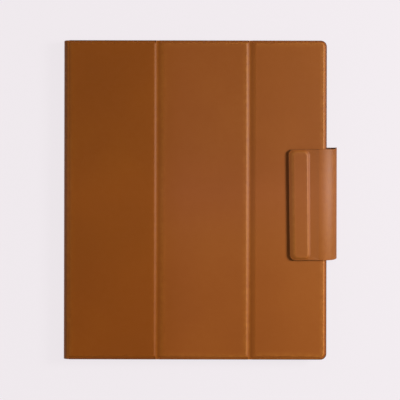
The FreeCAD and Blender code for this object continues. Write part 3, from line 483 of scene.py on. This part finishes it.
def makeStrip(name, node, low, high, place, inside, thick, slotName, ends, bodies,
              steps=16, roll=0.0, slant=None, under=None, wearAndHighlight=None, paintedShade=0.0):
    # a grid from low to high, laid along a path of (x, z) places and given its thickness towards an inside
    # point or down to a second path, then bent with the two bodies; slant is its drift, and the last two give
    # its rub with painted highlight and a painted shade on its outer face
    bm = bmesh.new()
    bmesh.ops.create_grid(bm, x_segments=steps, y_segments=1, size=1.0)
    reach = bm.verts.layers.float.new("reach")
    for v in bm.verts:
        t = (v.co.x + 1) / 2
        x, z = place(t)
        aside = slant(t) if slant else 0.0
        v.co, v[reach] = (x, (low if v.co.y < 0 else high) + aside, z), t
    bmesh.ops.recalc_face_normals(bm, faces=bm.faces)
    middle = bm.faces[:][len(bm.faces) // 2]
    outward = middle.calc_center_median() - Vector((inside[0], 0, inside[1]))
    if middle.normal.x * outward.x + middle.normal.z * outward.z < 0:
        bmesh.ops.reverse_faces(bm, faces=bm.faces)
    underside = set(bm.verts)  # solidify moves these and leaves new ones where they were
    bmesh.ops.solidify(bm, geom=bm.faces[:], thickness=thick)
    bm.normal_update()
    painted = bm.verts.layers.float.new("painted")
    rubbed = bm.verts.layers.float.new("rubbed")
    for v in bm.verts:
        v[painted] = 1.0 if v in underside else paintedShade
        v[rubbed] = wearAndHighlight(v[reach]) if wearAndHighlight and v not in underside else 0.0
        if under and v in underside:
            x, z = under(v[reach])
            v.co = (x, v.co.y, z)
    if roll:
        # the outer face is rolled over where it meets the two ends
        rims = [e for e in bm.edges if not any(v in underside for v in e.verts)
                and len({abs(f.normal.y) > endTilt for f in e.link_faces}) == 2]
        bevelEdges(bm, rims, roll, rollSteps)
    piece = finishPiece(name, bm, slotName, None, node, angle=stripAngle)
    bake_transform(piece, *bodies, start=[c * mm for c in ends[0]], end=[c * mm for c in ends[1]])


# a crease's rub with painted highlight is strongest at its left flank and fades to the right
creaseShape = {"reach": 0.1, "roll": 0.2, "wearAndHighlight": 0.45, "thick": 0.8, "liningInset": 0.6}


def makeCrease(side, leftSide, rightSide):
    # the leather dips from one panel's slope to the next one's, meeting both at their own tilt
    shape = creaseShape
    node = side + "_crease"
    low, high = nodeBox(node)
    panelTop = nodeBox("inner_panel_leather")[1].z
    lining = nodeBox("inner_panel_lining")[1].z
    wide = high.x - low.x
    leftJoin, rightJoin = panelJoins[leftSide]["right"], panelJoins[rightSide]["left"]
    leftLevel, rightLevel = leftJoin[1], rightJoin[1]
    leftTilt, rightTilt = -joinTilt(leftJoin, panelTop) * wide, joinTilt(rightJoin, panelTop) * wide

    def top(t):
        level = (leftLevel * (2 * t ** 3 - 3 * t ** 2 + 1) + rightLevel * (3 * t ** 2 - 2 * t ** 3)
                 + leftTilt * (t ** 3 - 2 * t ** 2 + t) + rightTilt * (t ** 3 - t ** 2))
        return low.x + wide * t, level

    def flat(t):
        return low.x + wide * t, lining

    ends = ((low.x, 0, high.z), (high.x, 0, high.z))
    bodies = (leftSide + "_panel", rightSide + "_panel")
    below = ((low.x + high.x) / 2, low.z - 10)
    reach, inset = shape["reach"], shape["liningInset"]
    makeStrip(side + "CreaseLeather", node, low.y - reach, high.y + reach, top, below, shape["thick"],
              "tan_leather", ends, bodies, roll=shape["roll"], under=flat,
              wearAndHighlight=lambda t: shape["wearAndHighlight"] * (1 - t))
    makeStrip(side + "CreaseLining", node, low.y + inset, high.y - inset, flat, below, lining - low.z,
              "lining_cloth", ends, bodies)


makeCrease("inner", "inner", "middle")
makeCrease("outer", "middle", "outer")


def arcPath(centreX, centreZ, acrossX, acrossZ, start, end):
    # part of a circle or oval between two angles in degrees
    def place(t):
        a = math.radians(start + (end - start) * t)
        return centreX + acrossX * math.cos(a), centreZ + acrossZ * math.sin(a)
    return place


# sizes that the spine and the clasp share
foldRadius, leatherThick = nodeWidth("spine_back_fold"), nodeWidth("spine_leather")
liningThick = nodeWidth("spine_lining")
foldShape = {"roll": 0.35, "stub": 0.15, "steps": 14}  # stub is the share of a fold's steps that its stub takes


def makeFold(name, node, low, high, centre, angles, bodies, ends, outer, inner,
             stub=0.0, steps=foldShape["steps"], slant=None, wearAndHighlight=None, paintedShade=0.0):
    # leather between two quarter ovals with lining under it; a stub runs straight along the wall before them
    share = foldShape["stub"] if stub else 0.0
    paths = []
    for across, up in (outer, inner):
        def place(t, arc=arcPath(*centre, across, up, *angles)):
            if t < share:
                x, z = arc(0)
                return x, z + stub * (1 - t / share)
            return arc((t - share) / (1 - share))

        paths.append(place)
    makeStrip(name + "Leather", node, low, high, paths[0], centre, leatherThick, "tan_leather", ends, bodies,
              steps, foldShape["roll"], slant, paths[1], wearAndHighlight, paintedShade)
    makeStrip(name + "Lining", node, low + liningInset, high - liningInset, paths[1], centre, liningThick,
              "lining_cloth", ends, bodies, steps, slant=slant)


def makeWall(name, body, node, low, high, roll, slotName):
    # a short upright of leather or lining, its outer ends rolled
    bm = makeSlab(low, high)
    if roll:
        bevelEdges(bm, cornerEdges(bm, -1 if low.x < 0 else 1), roll, rollSteps)
    finishPiece(name, bm, slotName, body, node)


# the front fold over the spine has an even rub with painted highlight
spineShape = {"bulge": 0.3, "wearAndHighlight": 0.45}


def makeSpine():
    # a quarter turn up from the back, a low wall and a quarter turn on to the first panel
    low, high = nodeBox("spine_leather")
    backLow, backHigh = nodeBox("spine_back_fold")
    frontLow, frontHigh = nodeBox("spine_front_fold")
    liningLow, liningHigh = nodeBox("spine_lining")
    shape = spineShape
    across, inner = foldRadius + shape["bulge"], (foldRadius - leatherThick,) * 2
    makeFold("spineBackFold", "spine_back_fold", backLow.y, backHigh.y, (backHigh.x, foldRadius), (180, 270),
             ("back_panel", "spine"), ((backHigh.x, 0, 0), (backLow.x, 0, backHigh.z)), (across, foldRadius),
             inner, stub=backHigh.z - foldRadius)
    makeFold("spineFrontFold", "spine_front_fold", frontLow.y, frontHigh.y, (frontHigh.x, frontLow.z),
             (180, 90), ("spine", "inner_panel"), ((frontLow.x, 0, frontLow.z), (frontHigh.x, 0, frontHigh.z)),
             (across, panelJoins["inner"]["left"][1] - frontLow.z), inner, wearAndHighlight=lambda t: shape["wearAndHighlight"])
    bulge, trim = Vector((shape["bulge"], 0, 0)), Vector((0, liningInset, 0))
    makeWall("spineWallLeather", "spine", "spine_leather", low - bulge, high, foldShape["roll"], "tan_leather")
    makeWall("spineWallLining", "spine", "spine_lining", liningLow + trim, liningHigh - trim, 0.0,
             "lining_cloth")


makeSpine()
print("creases and spine made")


# folio: back panel with the tab that the clasp grows from
backShape = {"cornerRadius": 4.3, "roll": 0.55, "flatBand": 4.0, "flatCorner": 1.0}
# the pad's slopes get rub with painted highlight, the top bend a painted highlight, and the flap and its top
# bend a painted shade that makes them a little darker
flapShape = {"freeCorner": 4.0, "bendStart": 88.9, "wallTop": 4.6, "roll": 0.35, "footGap": 0.1, "footLip": 0.3,
             "padMargin": 2.4, "padInset": 4.0, "padWidth": 9.1, "padSlope": 2.5, "padRound": 0.25,
             "padFootCorner": 3.8, "padTopCorner": 2.6, "padWearAndHighlight": 0.85, "magnetGap": 0.05, "magnetRoof": 0.02,
             "fadeBand": 0.4, "fadeCorners": (1.4, 1.4), "fadeRubAndHighlight": 0.2, "flatBand": 1.6,
             "flatCorners": (0.8, 0.8), "paintedShade": 0.06, "turnOut": -0.37, "turn": 0.6, "lift": 0.6,
             "liftOver": 0.8, "drift": 1.6, "bulge": 0.85, "bendPaintedHighlight": 0.45, "bendSteps": 32, "wallRoll": 0.3,
             "tabLap": 0.3, "tabInset": 0.4}


def makeBack():
    low, high = nodeBox("back_leather")
    liningLow, liningHigh = nodeBox("back_lining")
    shape = backShape
    outline = [low.x, liningHigh.x, liningLow.y, liningHigh.y]
    rings = pocketRings("back_board", nodeBox("back_board")[0].z, high.z)
    rings += reversed(rimRings(outline, (squareCorner, shape["cornerRadius"]), low.z, high.z, shape["roll"],
                               (False, True, True, True)))
    flat = grow(outline, -shape["flatBand"])
    flat[0] = low.x
    rings.append((flat, low.z, (squareCorner, shape["flatCorner"]), 0.0, 0.0))
    bm = loftLoops(rings)
    finishPiece("backPanelLeather", bm, "tan_leather", "back_panel", "back_leather", angle=60)


def makeTab(name, node, under, over, inset, slotName):
    # the tab lies under the edge of the back panel and runs out to the clasp's first bend
    shape = flapShape
    foldLow, foldHigh = nodeBox("flap_back_fold")
    left, right = nodeBox("back_lining")[1].x - shape["tabLap"], nodeBox("back_leather")[1].x
    start, end = foldLow.y + shape["drift"] + inset, foldHigh.y + shape["drift"] - inset
    bm = makeSlab((left, start, under), (right, end, over))
    sides = [e for e in bm.edges if isLevel(e) and abs(e.verts[0].co.y - e.verts[1].co.y) < near]
    bevelEdges(bm, sides, easeWidth, easeSteps)
    finishPiece(name, bm, slotName, "back_panel", node)


makeBack()
makeTab("claspTabLeather", "back_leather", 0.0, leatherThick, 0.0, "tan_leather")
makeTab("claspTabLining", "flap_back_fold", leatherThick, leatherThick + liningThick, flapShape["tabInset"],
        "lining_cloth")
makeLining("backPanelLining", "back_panel", "back_lining", (0,), backShape["cornerRadius"])


# folio: the clasp flap, drawn over the fore edge

def makeFlap():
    # leather pressed over the magnets: a soft pad on a thin flat rim
    low, high = nodeBox("flap_leather")
    liningLow, liningHigh = nodeBox("flap_lining")
    sheetTop = nodeBox("flap_top_fold")[1].z
    shape = flapShape
    bendStart = shape["bendStart"]
    roof = nodeBox("flap_magnets")[1].z + shape["magnetRoof"]
    rings = pocketRings("flap_magnets", roof, low.z, shape["magnetGap"])
    rings += rimRings([low.x, bendStart, low.y, high.y], (shape["freeCorner"], squareCorner), low.z, sheetTop,
                      shape["roll"], (True, False, True, True))
    padStart = low.x + shape["padInset"]
    top = [padStart, padStart + shape["padWidth"], low.y + shape["padMargin"], high.y - shape["padMargin"]]
    foot = grow(top, shape["padSlope"])
    rim = shape["roll"] + shape["footGap"]
    foot[0], foot[2], foot[3] = low.x + rim, low.y + rim, high.y - rim
    feet, tops = (shape["padFootCorner"],) * 2, (shape["padTopCorner"],) * 2
    rings.append(([foot[0], foot[1] + shape["footLip"], foot[2], foot[3]], sheetTop, feet, 0.0, 0.0))
    rings += slopeRings(foot, top, feet, tops, sheetTop, high.z, shape["padWearAndHighlight"],
                        {0: (sheetTop, shape["padRound"])})
    rings += flatRings(top, high.z, shape)
    # the clasp gets a painted shade, a little of the dark edge colour all over
    rings = [(*ring[:4], max(ring[4], shape["paintedShade"])) for ring in rings]

    def skew(v):
        # the clasp was laid over a touch askew: its free end is a little fuller and leans
        free = max(0.0, (bendStart - v.co.x) / (bendStart - low.x))
        lean = (v.co.y - (low.y + high.y) / 2) / ((high.y - low.y) / 2)
        v.co.z += shape["lift"] * free * min(max((v.co.z - low.z) / shape["liftOver"], 0.0), 1.0)
        v.co.x -= (shape["turnOut"] + shape["turn"] * lean) * free ** 0.5

    bm = loftLoops(rings)
    for v in bm.verts:
        skew(v)
    finishPiece("flapLeather", bm, "tan_leather", "flap", "flap_leather", angle=60)

    bm = makeSlab((liningLow.x + liningInset, liningLow.y + liningInset, liningLow.z),
                  (bendStart, liningHigh.y - liningInset, liningHigh.z))
    bevelEdges(bm, cornerEdges(bm, -1), shape["freeCorner"] - liningInset, roundSteps)
    for v in bm.verts:
        skew(v)
    piece = finishPiece("flapLining", bm, "lining_cloth", "flap", "flap_lining")


def makeClaspBend():
    # over the fore edge the strap comes down in one long soft bend, drifting towards the head as it goes
    shape = flapShape
    low, high = nodeBox("flap_leather")
    backLow, backHigh = nodeBox("flap_back_fold")
    sheetTop = nodeBox("flap_top_fold")[1].z
    bendStart, wallTop, drift = shape["bendStart"], shape["wallTop"], shape["drift"]
    face = nodeBox("flap_bridge_leather")[1].x + shape["bulge"]
    outer, backOuter = (face - bendStart, sheetTop - wallTop), (face - backLow.x, foldRadius)
    inner, backInner = [(across - leatherThick, up - leatherThick) for across, up in (outer, backOuter)]
    # the top bend's painted highlight is strongest halfway round it
    makeFold("claspTopBend", "flap_top_fold", low.y, high.y, (bendStart, wallTop), (0, 90),
             ("flap_bridge", "flap"), ((face, 0, wallTop), (bendStart, 0, sheetTop)), outer, inner,
             steps=shape["bendSteps"], slant=lambda t: drift * (1 - t) ** 3,
             wearAndHighlight=lambda t: shape["bendPaintedHighlight"] * math.sin(math.pi * t), paintedShade=shape["paintedShade"])
    makeFold("claspBackBend", "flap_back_fold", backLow.y + drift, backHigh.y + drift, (backLow.x, foldRadius),
             (0, -90), ("back_panel", "flap_bridge"), ((backLow.x, 0, 0), (face, 0, backHigh.z)),
             backOuter, backInner, stub=backHigh.z - foldRadius)
    for name, node, slotName, roll, inset in (
            ("claspWallLeather", "flap_bridge_leather", "tan_leather", shape["wallRoll"], 0.0),
            ("claspWallLining", "flap_bridge_lining", "lining_cloth", 0.0, liningInset)):
        wallLow, wallHigh = nodeBox(node)
        low = Vector((wallLow.x + shape["bulge"], wallLow.y + inset + drift, wallLow.z))
        high = Vector((wallHigh.x + shape["bulge"], wallHigh.y - inset + drift, wallTop))
        makeWall(name, "flap_bridge", node, low, high, roll, slotName)


makeFlap()
makeClaspBend()
print("back panel and clasp made")


# finishes of the reader, the boards and the magnets: colours dark to light, grain size in mm and how far it is
# drawn out along x and y, smoothest and roughest, bump height in mm, and how metallic
plainFinishes = {
    # recycled fibres pressed into board: flecked grey-brown and quite dull
    "pressedGreyboard": {
        "slot": "stiff_board", "dark": "#8b857b", "light": "#a19b90", "grain": 0.7, "stretch": (1, 3),
        "smooth": 0.85, "rough": 0.95, "bump": 0.05},
    # plated in nickel: a warm white mirror gone soft, with the barrel's small knocks
    "nickelPlatedMagnet": {
        "slot": "magnet", "dark": "#aaa498", "light": "#c4bfb3", "grain": 1.5,
        "smooth": 0.2, "rough": 0.34, "bump": 0.02, "metal": 1.0},
    # blasted with fine beads, then anodised: an even satin grey with a faint sparkle; the beads' marks of
    # 0.1 mm are drawn at 0.25 mm to show
    "beadBlastedAnodisedAluminium": {
        "slot": "anodised_shell", "dark": "#5d6064", "light": "#6f7276", "grain": 0.25,
        "smooth": 0.4, "rough": 0.52, "bump": 0.012, "metal": 0.9},
    # rolled and stamped sheet: bright grey with the rolls' fine lines all one way
    "rolledStainlessPlate": {
        "slot": "stamped_plate", "dark": "#8f9296", "light": "#a9acb0", "grain": 0.12, "stretch": (60, 1),
        "smooth": 0.28, "rough": 0.4, "bump": 0.008, "metal": 1.0},
    # nylon with glass fibre, moulded against a spark-eroded tool: soft black, evenly fine and matt
    "mouldedNylonFrame": {
        "slot": "dark_frame", "dark": "#1c1d1f", "light": "#27292b", "grain": 0.3,
        "smooth": 0.55, "rough": 0.7, "bump": 0.02},
    # epoxy pressed round a chip: charcoal with a dry, faintly grainy face
    "mouldedEpoxyChip": {
        "slot": "dark_chip", "dark": "#222326", "light": "#303236", "grain": 0.2,
        "smooth": 0.5, "rough": 0.62, "bump": 0.008},
    # laminated foil drawn into a pouch: satin silver that puckers a little
    "drawnPouchFoil": {
        "slot": "pouch_cell", "dark": "#9b9ea2", "light": "#b9bcc0", "grain": 7.0, "stretch": (1, 2),
        "smooth": 0.3, "rough": 0.48, "bump": 0.15, "metal": 0.7},
    # turned and passivated steel: cool and clean, with the tool's close marks
    "turnedStainlessSteel": {
        "slot": "bare_steel", "dark": "#a2a4a7", "light": "#bcbec1", "grain": 0.15, "stretch": (8, 1),
        "smooth": 0.22, "rough": 0.34, "bump": 0.006, "metal": 1.0},
    # moulded white polycarbonate: clean, slightly glossy and even
    "mouldedWhitePolycarbonate": {
        "slot": "white_plastic", "dark": "#e2e3e1", "light": "#eeefed", "grain": 1.2,
        "smooth": 0.3, "rough": 0.4, "bump": 0.005},
}
plainPatch = 30  # size in mm of the broad patches in which a plain finish varies a little


def makePlainFinish(name, look):
    material, tree, place = startFinish(name)
    along = [scaleFor(look["grain"] * part) for part in (*look.get("stretch", (1, 1)), 1)]
    drawn = addNode(tree, "Mapping", {"Scale": along}, {"Vector": place})
    grain = addNode(tree, "TexNoise", {"Scale": 1.0, "Detail": 3.0, "Roughness": 0.6}, {"Vector": drawn})
    patches = addNode(tree, "TexNoise", {"Scale": scaleFor(plainPatch), "Detail": 2.0}, {"Vector": place})
    both = addNode(tree, "Math", {"operation": "MULTIPLY_ADD", 1: 0.5}, {0: patches, 2: grain})
    colour = addNode(tree, "ValToRGB", {"stops": [(0.55, look["dark"]), (0.95, look["light"])]}, {"Fac": both})
    gloss = addNode(tree, "MapRange", glossRange(look, 0.3, 0.7), {"Value": grain})
    lift = addNode(tree, "Bump", {"Strength": 0.5, "Distance": look["bump"] * mm}, {"Height": grain})
    shader = addNode(tree, "BsdfPrincipled", {"Metallic": look.get("metal", 0.0)},
                     {"Base Color": colour, "Roughness": gloss, "Normal": lift})
    return endFinish(material, shader)


boardLook = {"mask": "#17382c", "copper": "#24553f", "pad": "#a58c52", "smooth": 0.28, "rough": 0.4,
             "row": 0.9, "rowLength": 6.3, "rowGap": 0.198, "padPitch": 2.6, "relief": 0.02}


def makeCircuitBoard(name, look):
    # glass-fibre board under green solder mask: glossy deep green, lighter over the copper, small gilt pads
    material, tree, place = startFinish(name)
    tracks = addNode(tree, "TexBrick",
                     {"Scale": 1.0, "Mortar Size": look["rowGap"] * mm, "Mortar Smooth": 0.3,
                      "Brick Width": look["rowLength"] * mm, "Row Height": look["row"] * mm}, {"Vector": place})
    cells = addNode(tree, "TexVoronoi", {"Scale": scaleFor(look["padPitch"]), "Randomness": 0.35},
                    {"Vector": place})
    pads = addNode(tree, "MapRange", {"From Min": 0.12, "From Max": 0.16, "To Min": 1.0, "To Max": 0.0},
                   {"Value": cells})
    masked = addNode(tree, "Mix", {"data_type": "RGBA", 6: look["mask"], 7: look["copper"]},
                     {0: tracks.outputs["Fac"]})
    colour = addNode(tree, "Mix", {"data_type": "RGBA", 7: look["pad"]}, {0: pads, 6: masked.outputs[2]})
    raised = addNode(tree, "Math", {"operation": "MAXIMUM"}, {0: tracks.outputs["Fac"], 1: pads})
    lift = addNode(tree, "Bump", {"Strength": 0.5, "Distance": look["relief"] * mm}, {"Height": raised})
    gloss = addNode(tree, "MapRange", glossRange(look), {"Value": raised})
    shader = addNode(tree, "BsdfPrincipled", {"IOR": 1.55},
                     {"Base Color": colour.outputs[2], "Metallic": pads, "Roughness": gloss, "Normal": lift})
    return endFinish(material, shader)


ribbonLook = {"film": "#7c4a12", "copper": "#b9762c", "smooth": 0.22, "rough": 0.38, "metal": 0.25,
              "pitch": 0.5, "relief": 0.015, "patch": 4}
waveTurn = 20  # a wave texture turns by this many radians over one unit of its scale


def makeRibbon(name, look):
    # copper lines between amber polyimide films: warm, glossy and finely striped
    material, tree, place = startFinish(name)
    lines = addNode(tree, "TexWave",
                    {"wave_type": "BANDS", "bands_direction": "X",
                     "Scale": math.tau / waveTurn * scaleFor(look["pitch"])}, {"Vector": place})
    edges = addNode(tree, "MapRange", {"From Min": 0.45, "From Max": 0.6}, {"Value": lines.outputs["Fac"]})
    patches = addNode(tree, "TexNoise", {"Scale": scaleFor(look["patch"]), "Detail": 2.0}, {"Vector": place})
    colour = addNode(tree, "Mix", {"data_type": "RGBA", 6: look["film"], 7: look["copper"]}, {0: edges})
    gloss = addNode(tree, "MapRange", glossRange(look), {"Value": patches})
    lift = addNode(tree, "Bump", {"Strength": 0.4, "Distance": look["relief"] * mm}, {"Height": edges})
    shader = addNode(tree, "BsdfPrincipled", {"IOR": 1.6, "Metallic": look["metal"]},
                     {"Base Color": colour.outputs[2], "Roughness": gloss, "Normal": lift})
    return endFinish(material, shader)


displayLook = {"dim": "#b4b4ac", "pale": "#c0c0b8", "smooth": 0.7, "rough": 0.85, "shine": 0.3,
               "capsule": 0.3, "speckle": 0.9}


def makeDisplay(name, look):
    # charged pigment in tiny capsules behind film: a paper-like pale grey with a dry speckle; the capsules of
    # 0.05 mm are drawn at 0.3 mm to show
    material, tree, place = startFinish(name)
    capsules = addNode(tree, "TexVoronoi", {"Scale": scaleFor(look["capsule"])}, {"Vector": place})
    speckle = addNode(tree, "TexNoise", {"Scale": scaleFor(look["speckle"]), "Detail": 3.0}, {"Vector": place})
    both = addNode(tree, "Math", {"operation": "MULTIPLY_ADD", 1: 0.35}, {0: capsules, 2: speckle})
    colour = addNode(tree, "ValToRGB", {"stops": [(0.4, look["pale"]), (0.85, look["dim"])]}, {"Fac": both})
    gloss = addNode(tree, "MapRange", glossRange(look), {"Value": speckle})
    shader = addNode(tree, "BsdfPrincipled", {"Specular IOR Level": look["shine"]},
                     {"Base Color": colour, "Roughness": gloss})
    return endFinish(material, shader)


# acid-etched cover glass takes the glare off in a soft haze; the films under it are all but invisible
clearFinishes = {
    "etchedCoverGlass": {
        "slot": "etched_glass", "tone": "#e8ebeb", "alpha": 0.05, "smooth": 0.3, "rough": 0.4, "ior": 1.52,
        "grain": 0.4, "bump": 0.01},
    "clearOpticalFilm": {
        "slot": "clear_film", "tone": "#eef0f0", "alpha": 0.02, "smooth": 0.12, "rough": 0.2, "ior": 1.58,
        "grain": 3.0, "bump": 0.004},
}


def makeClearFinish(name, look):
    material, tree, place = startFinish(name)
    etch = addNode(tree, "TexNoise", {"Scale": scaleFor(look["grain"]), "Detail": 2.0}, {"Vector": place})
    gloss = addNode(tree, "MapRange", glossRange(look), {"Value": etch})
    lift = addNode(tree, "Bump", {"Strength": 0.3, "Distance": look["bump"] * mm}, {"Height": etch})
    shader = addNode(tree, "BsdfPrincipled",
                     {"Base Color": look["tone"], "Alpha": look["alpha"], "IOR": look["ior"]},
                     {"Roughness": gloss, "Normal": lift})
    return endFinish(material, shader)


for name, look in plainFinishes.items():
    slotFinishes[look["slot"]] = makePlainFinish(name, look)
for name, look in clearFinishes.items():
    slotFinishes[look["slot"]] = makeClearFinish(name, look)
slotFinishes["circuit_board"] = makeCircuitBoard("solderMaskedBoard", boardLook)
slotFinishes["ribbon_cable"] = makeRibbon("etchedPolyimideRibbon", ribbonLook)
slotFinishes["paper_display"] = makeDisplay("capsulePaperDisplay", displayLook)

nodeSlots = {row["node"]: row["material_slot"] for row in frame["record"]["subparts"]}
for name, node in nodes.items():
    finish = slotFinishes[nodeSlots[name]]
    if node.material_slots:
        node.material_slots[0].link = "OBJECT"
        node.material_slots[0].material = finish
    else:
        node.data.materials.append(finish)
print("reader finishes given to", len(nodes), "solids")


# reader: edges eased on the parts that show; thin is what a clear sheet loses, so that no two faces coincide
softParts = {
    "readerShell": {"node": "reader_shell", "ease": 0.35, "steps": 3},
    "readerFrame": {"node": "front_frame", "ease": 0.3, "steps": 3},
    "readerGlass": {"node": "front_glass", "ease": 0.12, "steps": 2, "thin": 0.04},
    "touchFilmSheet": {"node": "touch_film", "ease": 0.03, "steps": 1, "thin": 0.03},
    "lightGuideSheet": {"node": "light_guide", "ease": 0.05, "steps": 1, "thin": 0.04},
    "powerButtonCap": {"node": "power_button", "body": "power_button", "ease": 0.2, "steps": 3},
    "chargingSocketCan": {"node": "charging_socket", "ease": 0.1, "steps": 2},
    "chassisPlatePressed": {"node": "chassis_plate", "ease": 0.12, "steps": 2},
}
seamGap = 1e-3  # a solid's faces come closer than this where they meet
keenAngle, flatAngle = 35, 1  # in degrees: edges that turn by more are eased, and by less are taken out


def easeEdges(name, node, ease, steps, body="reader", thin=0.0):
    # the solid's own faces, made one skin again, with every keen edge rounded a little
    bm = bmesh.new()
    bm.from_mesh(nodes[node].data)
    bmesh.ops.scale(bm, vec=(1 / mm, 1 / mm, 1 / mm), verts=bm.verts)
    low, high = nodeBox(node)
    for v in bm.verts:
        v.co.z += thin / 2 * (1 if v.co.z < (low.z + high.z) / 2 else -1)
    bmesh.ops.remove_doubles(bm, verts=bm.verts, dist=seamGap)
    bmesh.ops.dissolve_limit(bm, angle_limit=math.radians(flatAngle), verts=bm.verts, edges=bm.edges)
    keen = [e for e in bm.edges if len(e.link_faces) == 2 and e.calc_face_angle() > math.radians(keenAngle)]
    bevelEdges(bm, keen, ease, steps)
    slotName = nodeSlots[node]
    piece = finishPiece(name, bm, slotName, body, node, angle=keenAngle)
    if thin:
        # clear sheets let the light down to the display, and lay no shadow on it
        piece.visible_shadow = False
        piece.visible_diffuse = False


for name, part in softParts.items():
    easeEdges(name, **part)
print("reader parts eased")


# camera, floor and light: the camera in millimetres, the floor and the lamps in metres, angles in degrees
cameraPlace = {"x": 3.35, "y": -0.03, "height": 1100.0, "frameWidth": 288.5, "turn": 0.11, "sensor": 36.0}
studio = {"pale": "#f1ebef", "ambient": 0.28, "glow": 0.93, "horizon": 0.35, "overhead": 0.0, "floorSize": 8.0,
          "floorDrop": 0.0005, "shadowNear": 0.25, "shadowFar": 0.8}
lampShapes = {"keyLamp": {"angle": 38.0, "azimuth": 10.0, "distance": 0.95, "size": 0.3, "power": 10.0},
              "fillLamp": {"angle": 32.0, "azimuth": 175.0, "distance": 1.4, "size": 0.9, "power": 1.7}}


def makeCamera():
    # straight above, with the lens that shows frameWidth at the level of the cover
    coverTop = nodeBox("inner_panel_leather")[1].z
    data = bpy.data.cameras.new("camera")
    data.sensor_width = cameraPlace["sensor"]
    data.lens = cameraPlace["sensor"] * cameraPlace["height"] / cameraPlace["frameWidth"]
    camera = bpy.data.objects.new("camera", data)
    camera.location = Vector((cameraPlace["x"], cameraPlace["y"], coverTop + cameraPlace["height"])) * mm
    camera.rotation_euler = (0, 0, math.radians(cameraPlace["turn"]))
    scene.collection.objects.link(camera)
    scene.camera = camera


def makeWorld():
    world = bpy.data.worlds.new("paleStudio")
    scene.world = world
    world.use_nodes = True
    tree = world.node_tree
    tree.nodes.clear()
    path = addNode(tree, "LightPath")
    direction = addNode(tree, "TexCoord")
    height = addNode(tree, "SeparateXYZ", links={0: direction.outputs["Generated"]})
    # what gloss shows: a pale room round about, dim overhead
    room = addNode(tree, "MapRange",
                   {"From Max": 0.5, "To Min": studio["horizon"], "To Max": studio["overhead"]},
                   {"Value": height.outputs["Z"]})
    ambient = addNode(tree, "Background", {"Color": "#ffffff", "Strength": studio["ambient"]})
    shown = addNode(tree, "Background", {"Color": studio["pale"]}, {"Strength": room})
    backdrop = addNode(tree, "Background", {"Color": studio["pale"], "Strength": 1.0})
    gloss = addNode(tree, "Math", {"operation": "MAXIMUM"},
                    {0: path.outputs["Is Glossy Ray"], 1: path.outputs["Is Transmission Ray"]})
    mixed = addNode(tree, "MixShader", links={0: gloss, 1: ambient, 2: shown})
    final = addNode(tree, "MixShader", links={0: path.outputs["Is Camera Ray"], 1: mixed, 2: backdrop})
    addNode(tree, "OutputWorld", links={"Surface": final})


def makeFloor():
    bm = bmesh.new()
    bmesh.ops.create_grid(bm, x_segments=1, y_segments=1, size=studio["floorSize"])
    mesh = bpy.data.meshes.new("floor")
    bm.to_mesh(mesh)
    bm.free()
    floor = bpy.data.objects.new("floor", mesh)
    floor.location = (0, 0, -studio["floorDrop"])
    scene.collection.objects.link(floor)
    # matt paper sweep: pale and even, with a faint shadow under what stands on it, melting into the backdrop
    material, tree, place = startFinish("palePaper")
    paper = addNode(tree, "BsdfDiffuse", {"Color": studio["pale"]})
    glow = addNode(tree, "Emission", {"Color": studio["pale"], "Strength": 1.0})
    path = addNode(tree, "LightPath")
    first = addNode(tree, "Math", {"operation": "MAXIMUM"},
                    {0: path.outputs["Is Camera Ray"], 1: path.outputs["Is Glossy Ray"]})
    seen = addNode(tree, "Math", {"operation": "MAXIMUM"}, {0: first, 1: path.outputs["Is Transmission Ray"]})
    reach = addNode(tree, "VectorMath", {"operation": "LENGTH"}, {0: place})
    far = addNode(tree, "MapRange",
                  {"From Min": studio["shadowNear"], "From Max": studio["shadowFar"], "To Min": studio["glow"]},
                  {"Value": reach.outputs["Value"]})
    share = addNode(tree, "Math", {"operation": "MULTIPLY"}, {0: seen, 1: far})
    shader = addNode(tree, "MixShader", links={0: share, 1: paper, 2: glow})
    mesh.materials.append(endFinish(material, shader))
    floor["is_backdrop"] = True


def makeLamp(name, angle, azimuth, distance, size, power):
    # a square soft light turned to the middle of the scene
    data = bpy.data.lights.new(name, "AREA")
    data.shape = "SQUARE"
    data.size = size
    data.energy = power
    lamp = bpy.data.objects.new(name, data)
    e, a = math.radians(angle), math.radians(azimuth)
    lamp.location = Vector((math.cos(a) * math.cos(e), math.sin(a) * math.cos(e), math.sin(e))) * distance
    lamp.rotation_euler = (-Vector(lamp.location)).to_track_quat("-Z", "Y").to_euler()
    scene.collection.objects.link(lamp)


makeCamera()
makeWorld()
makeFloor()
for name, lamp in lampShapes.items():
    makeLamp(name, **lamp)
print("camera, floor and light made")

for box in (solidBox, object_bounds()):
    print([[round(c / mm, 2) for c in corner] for corner in box])
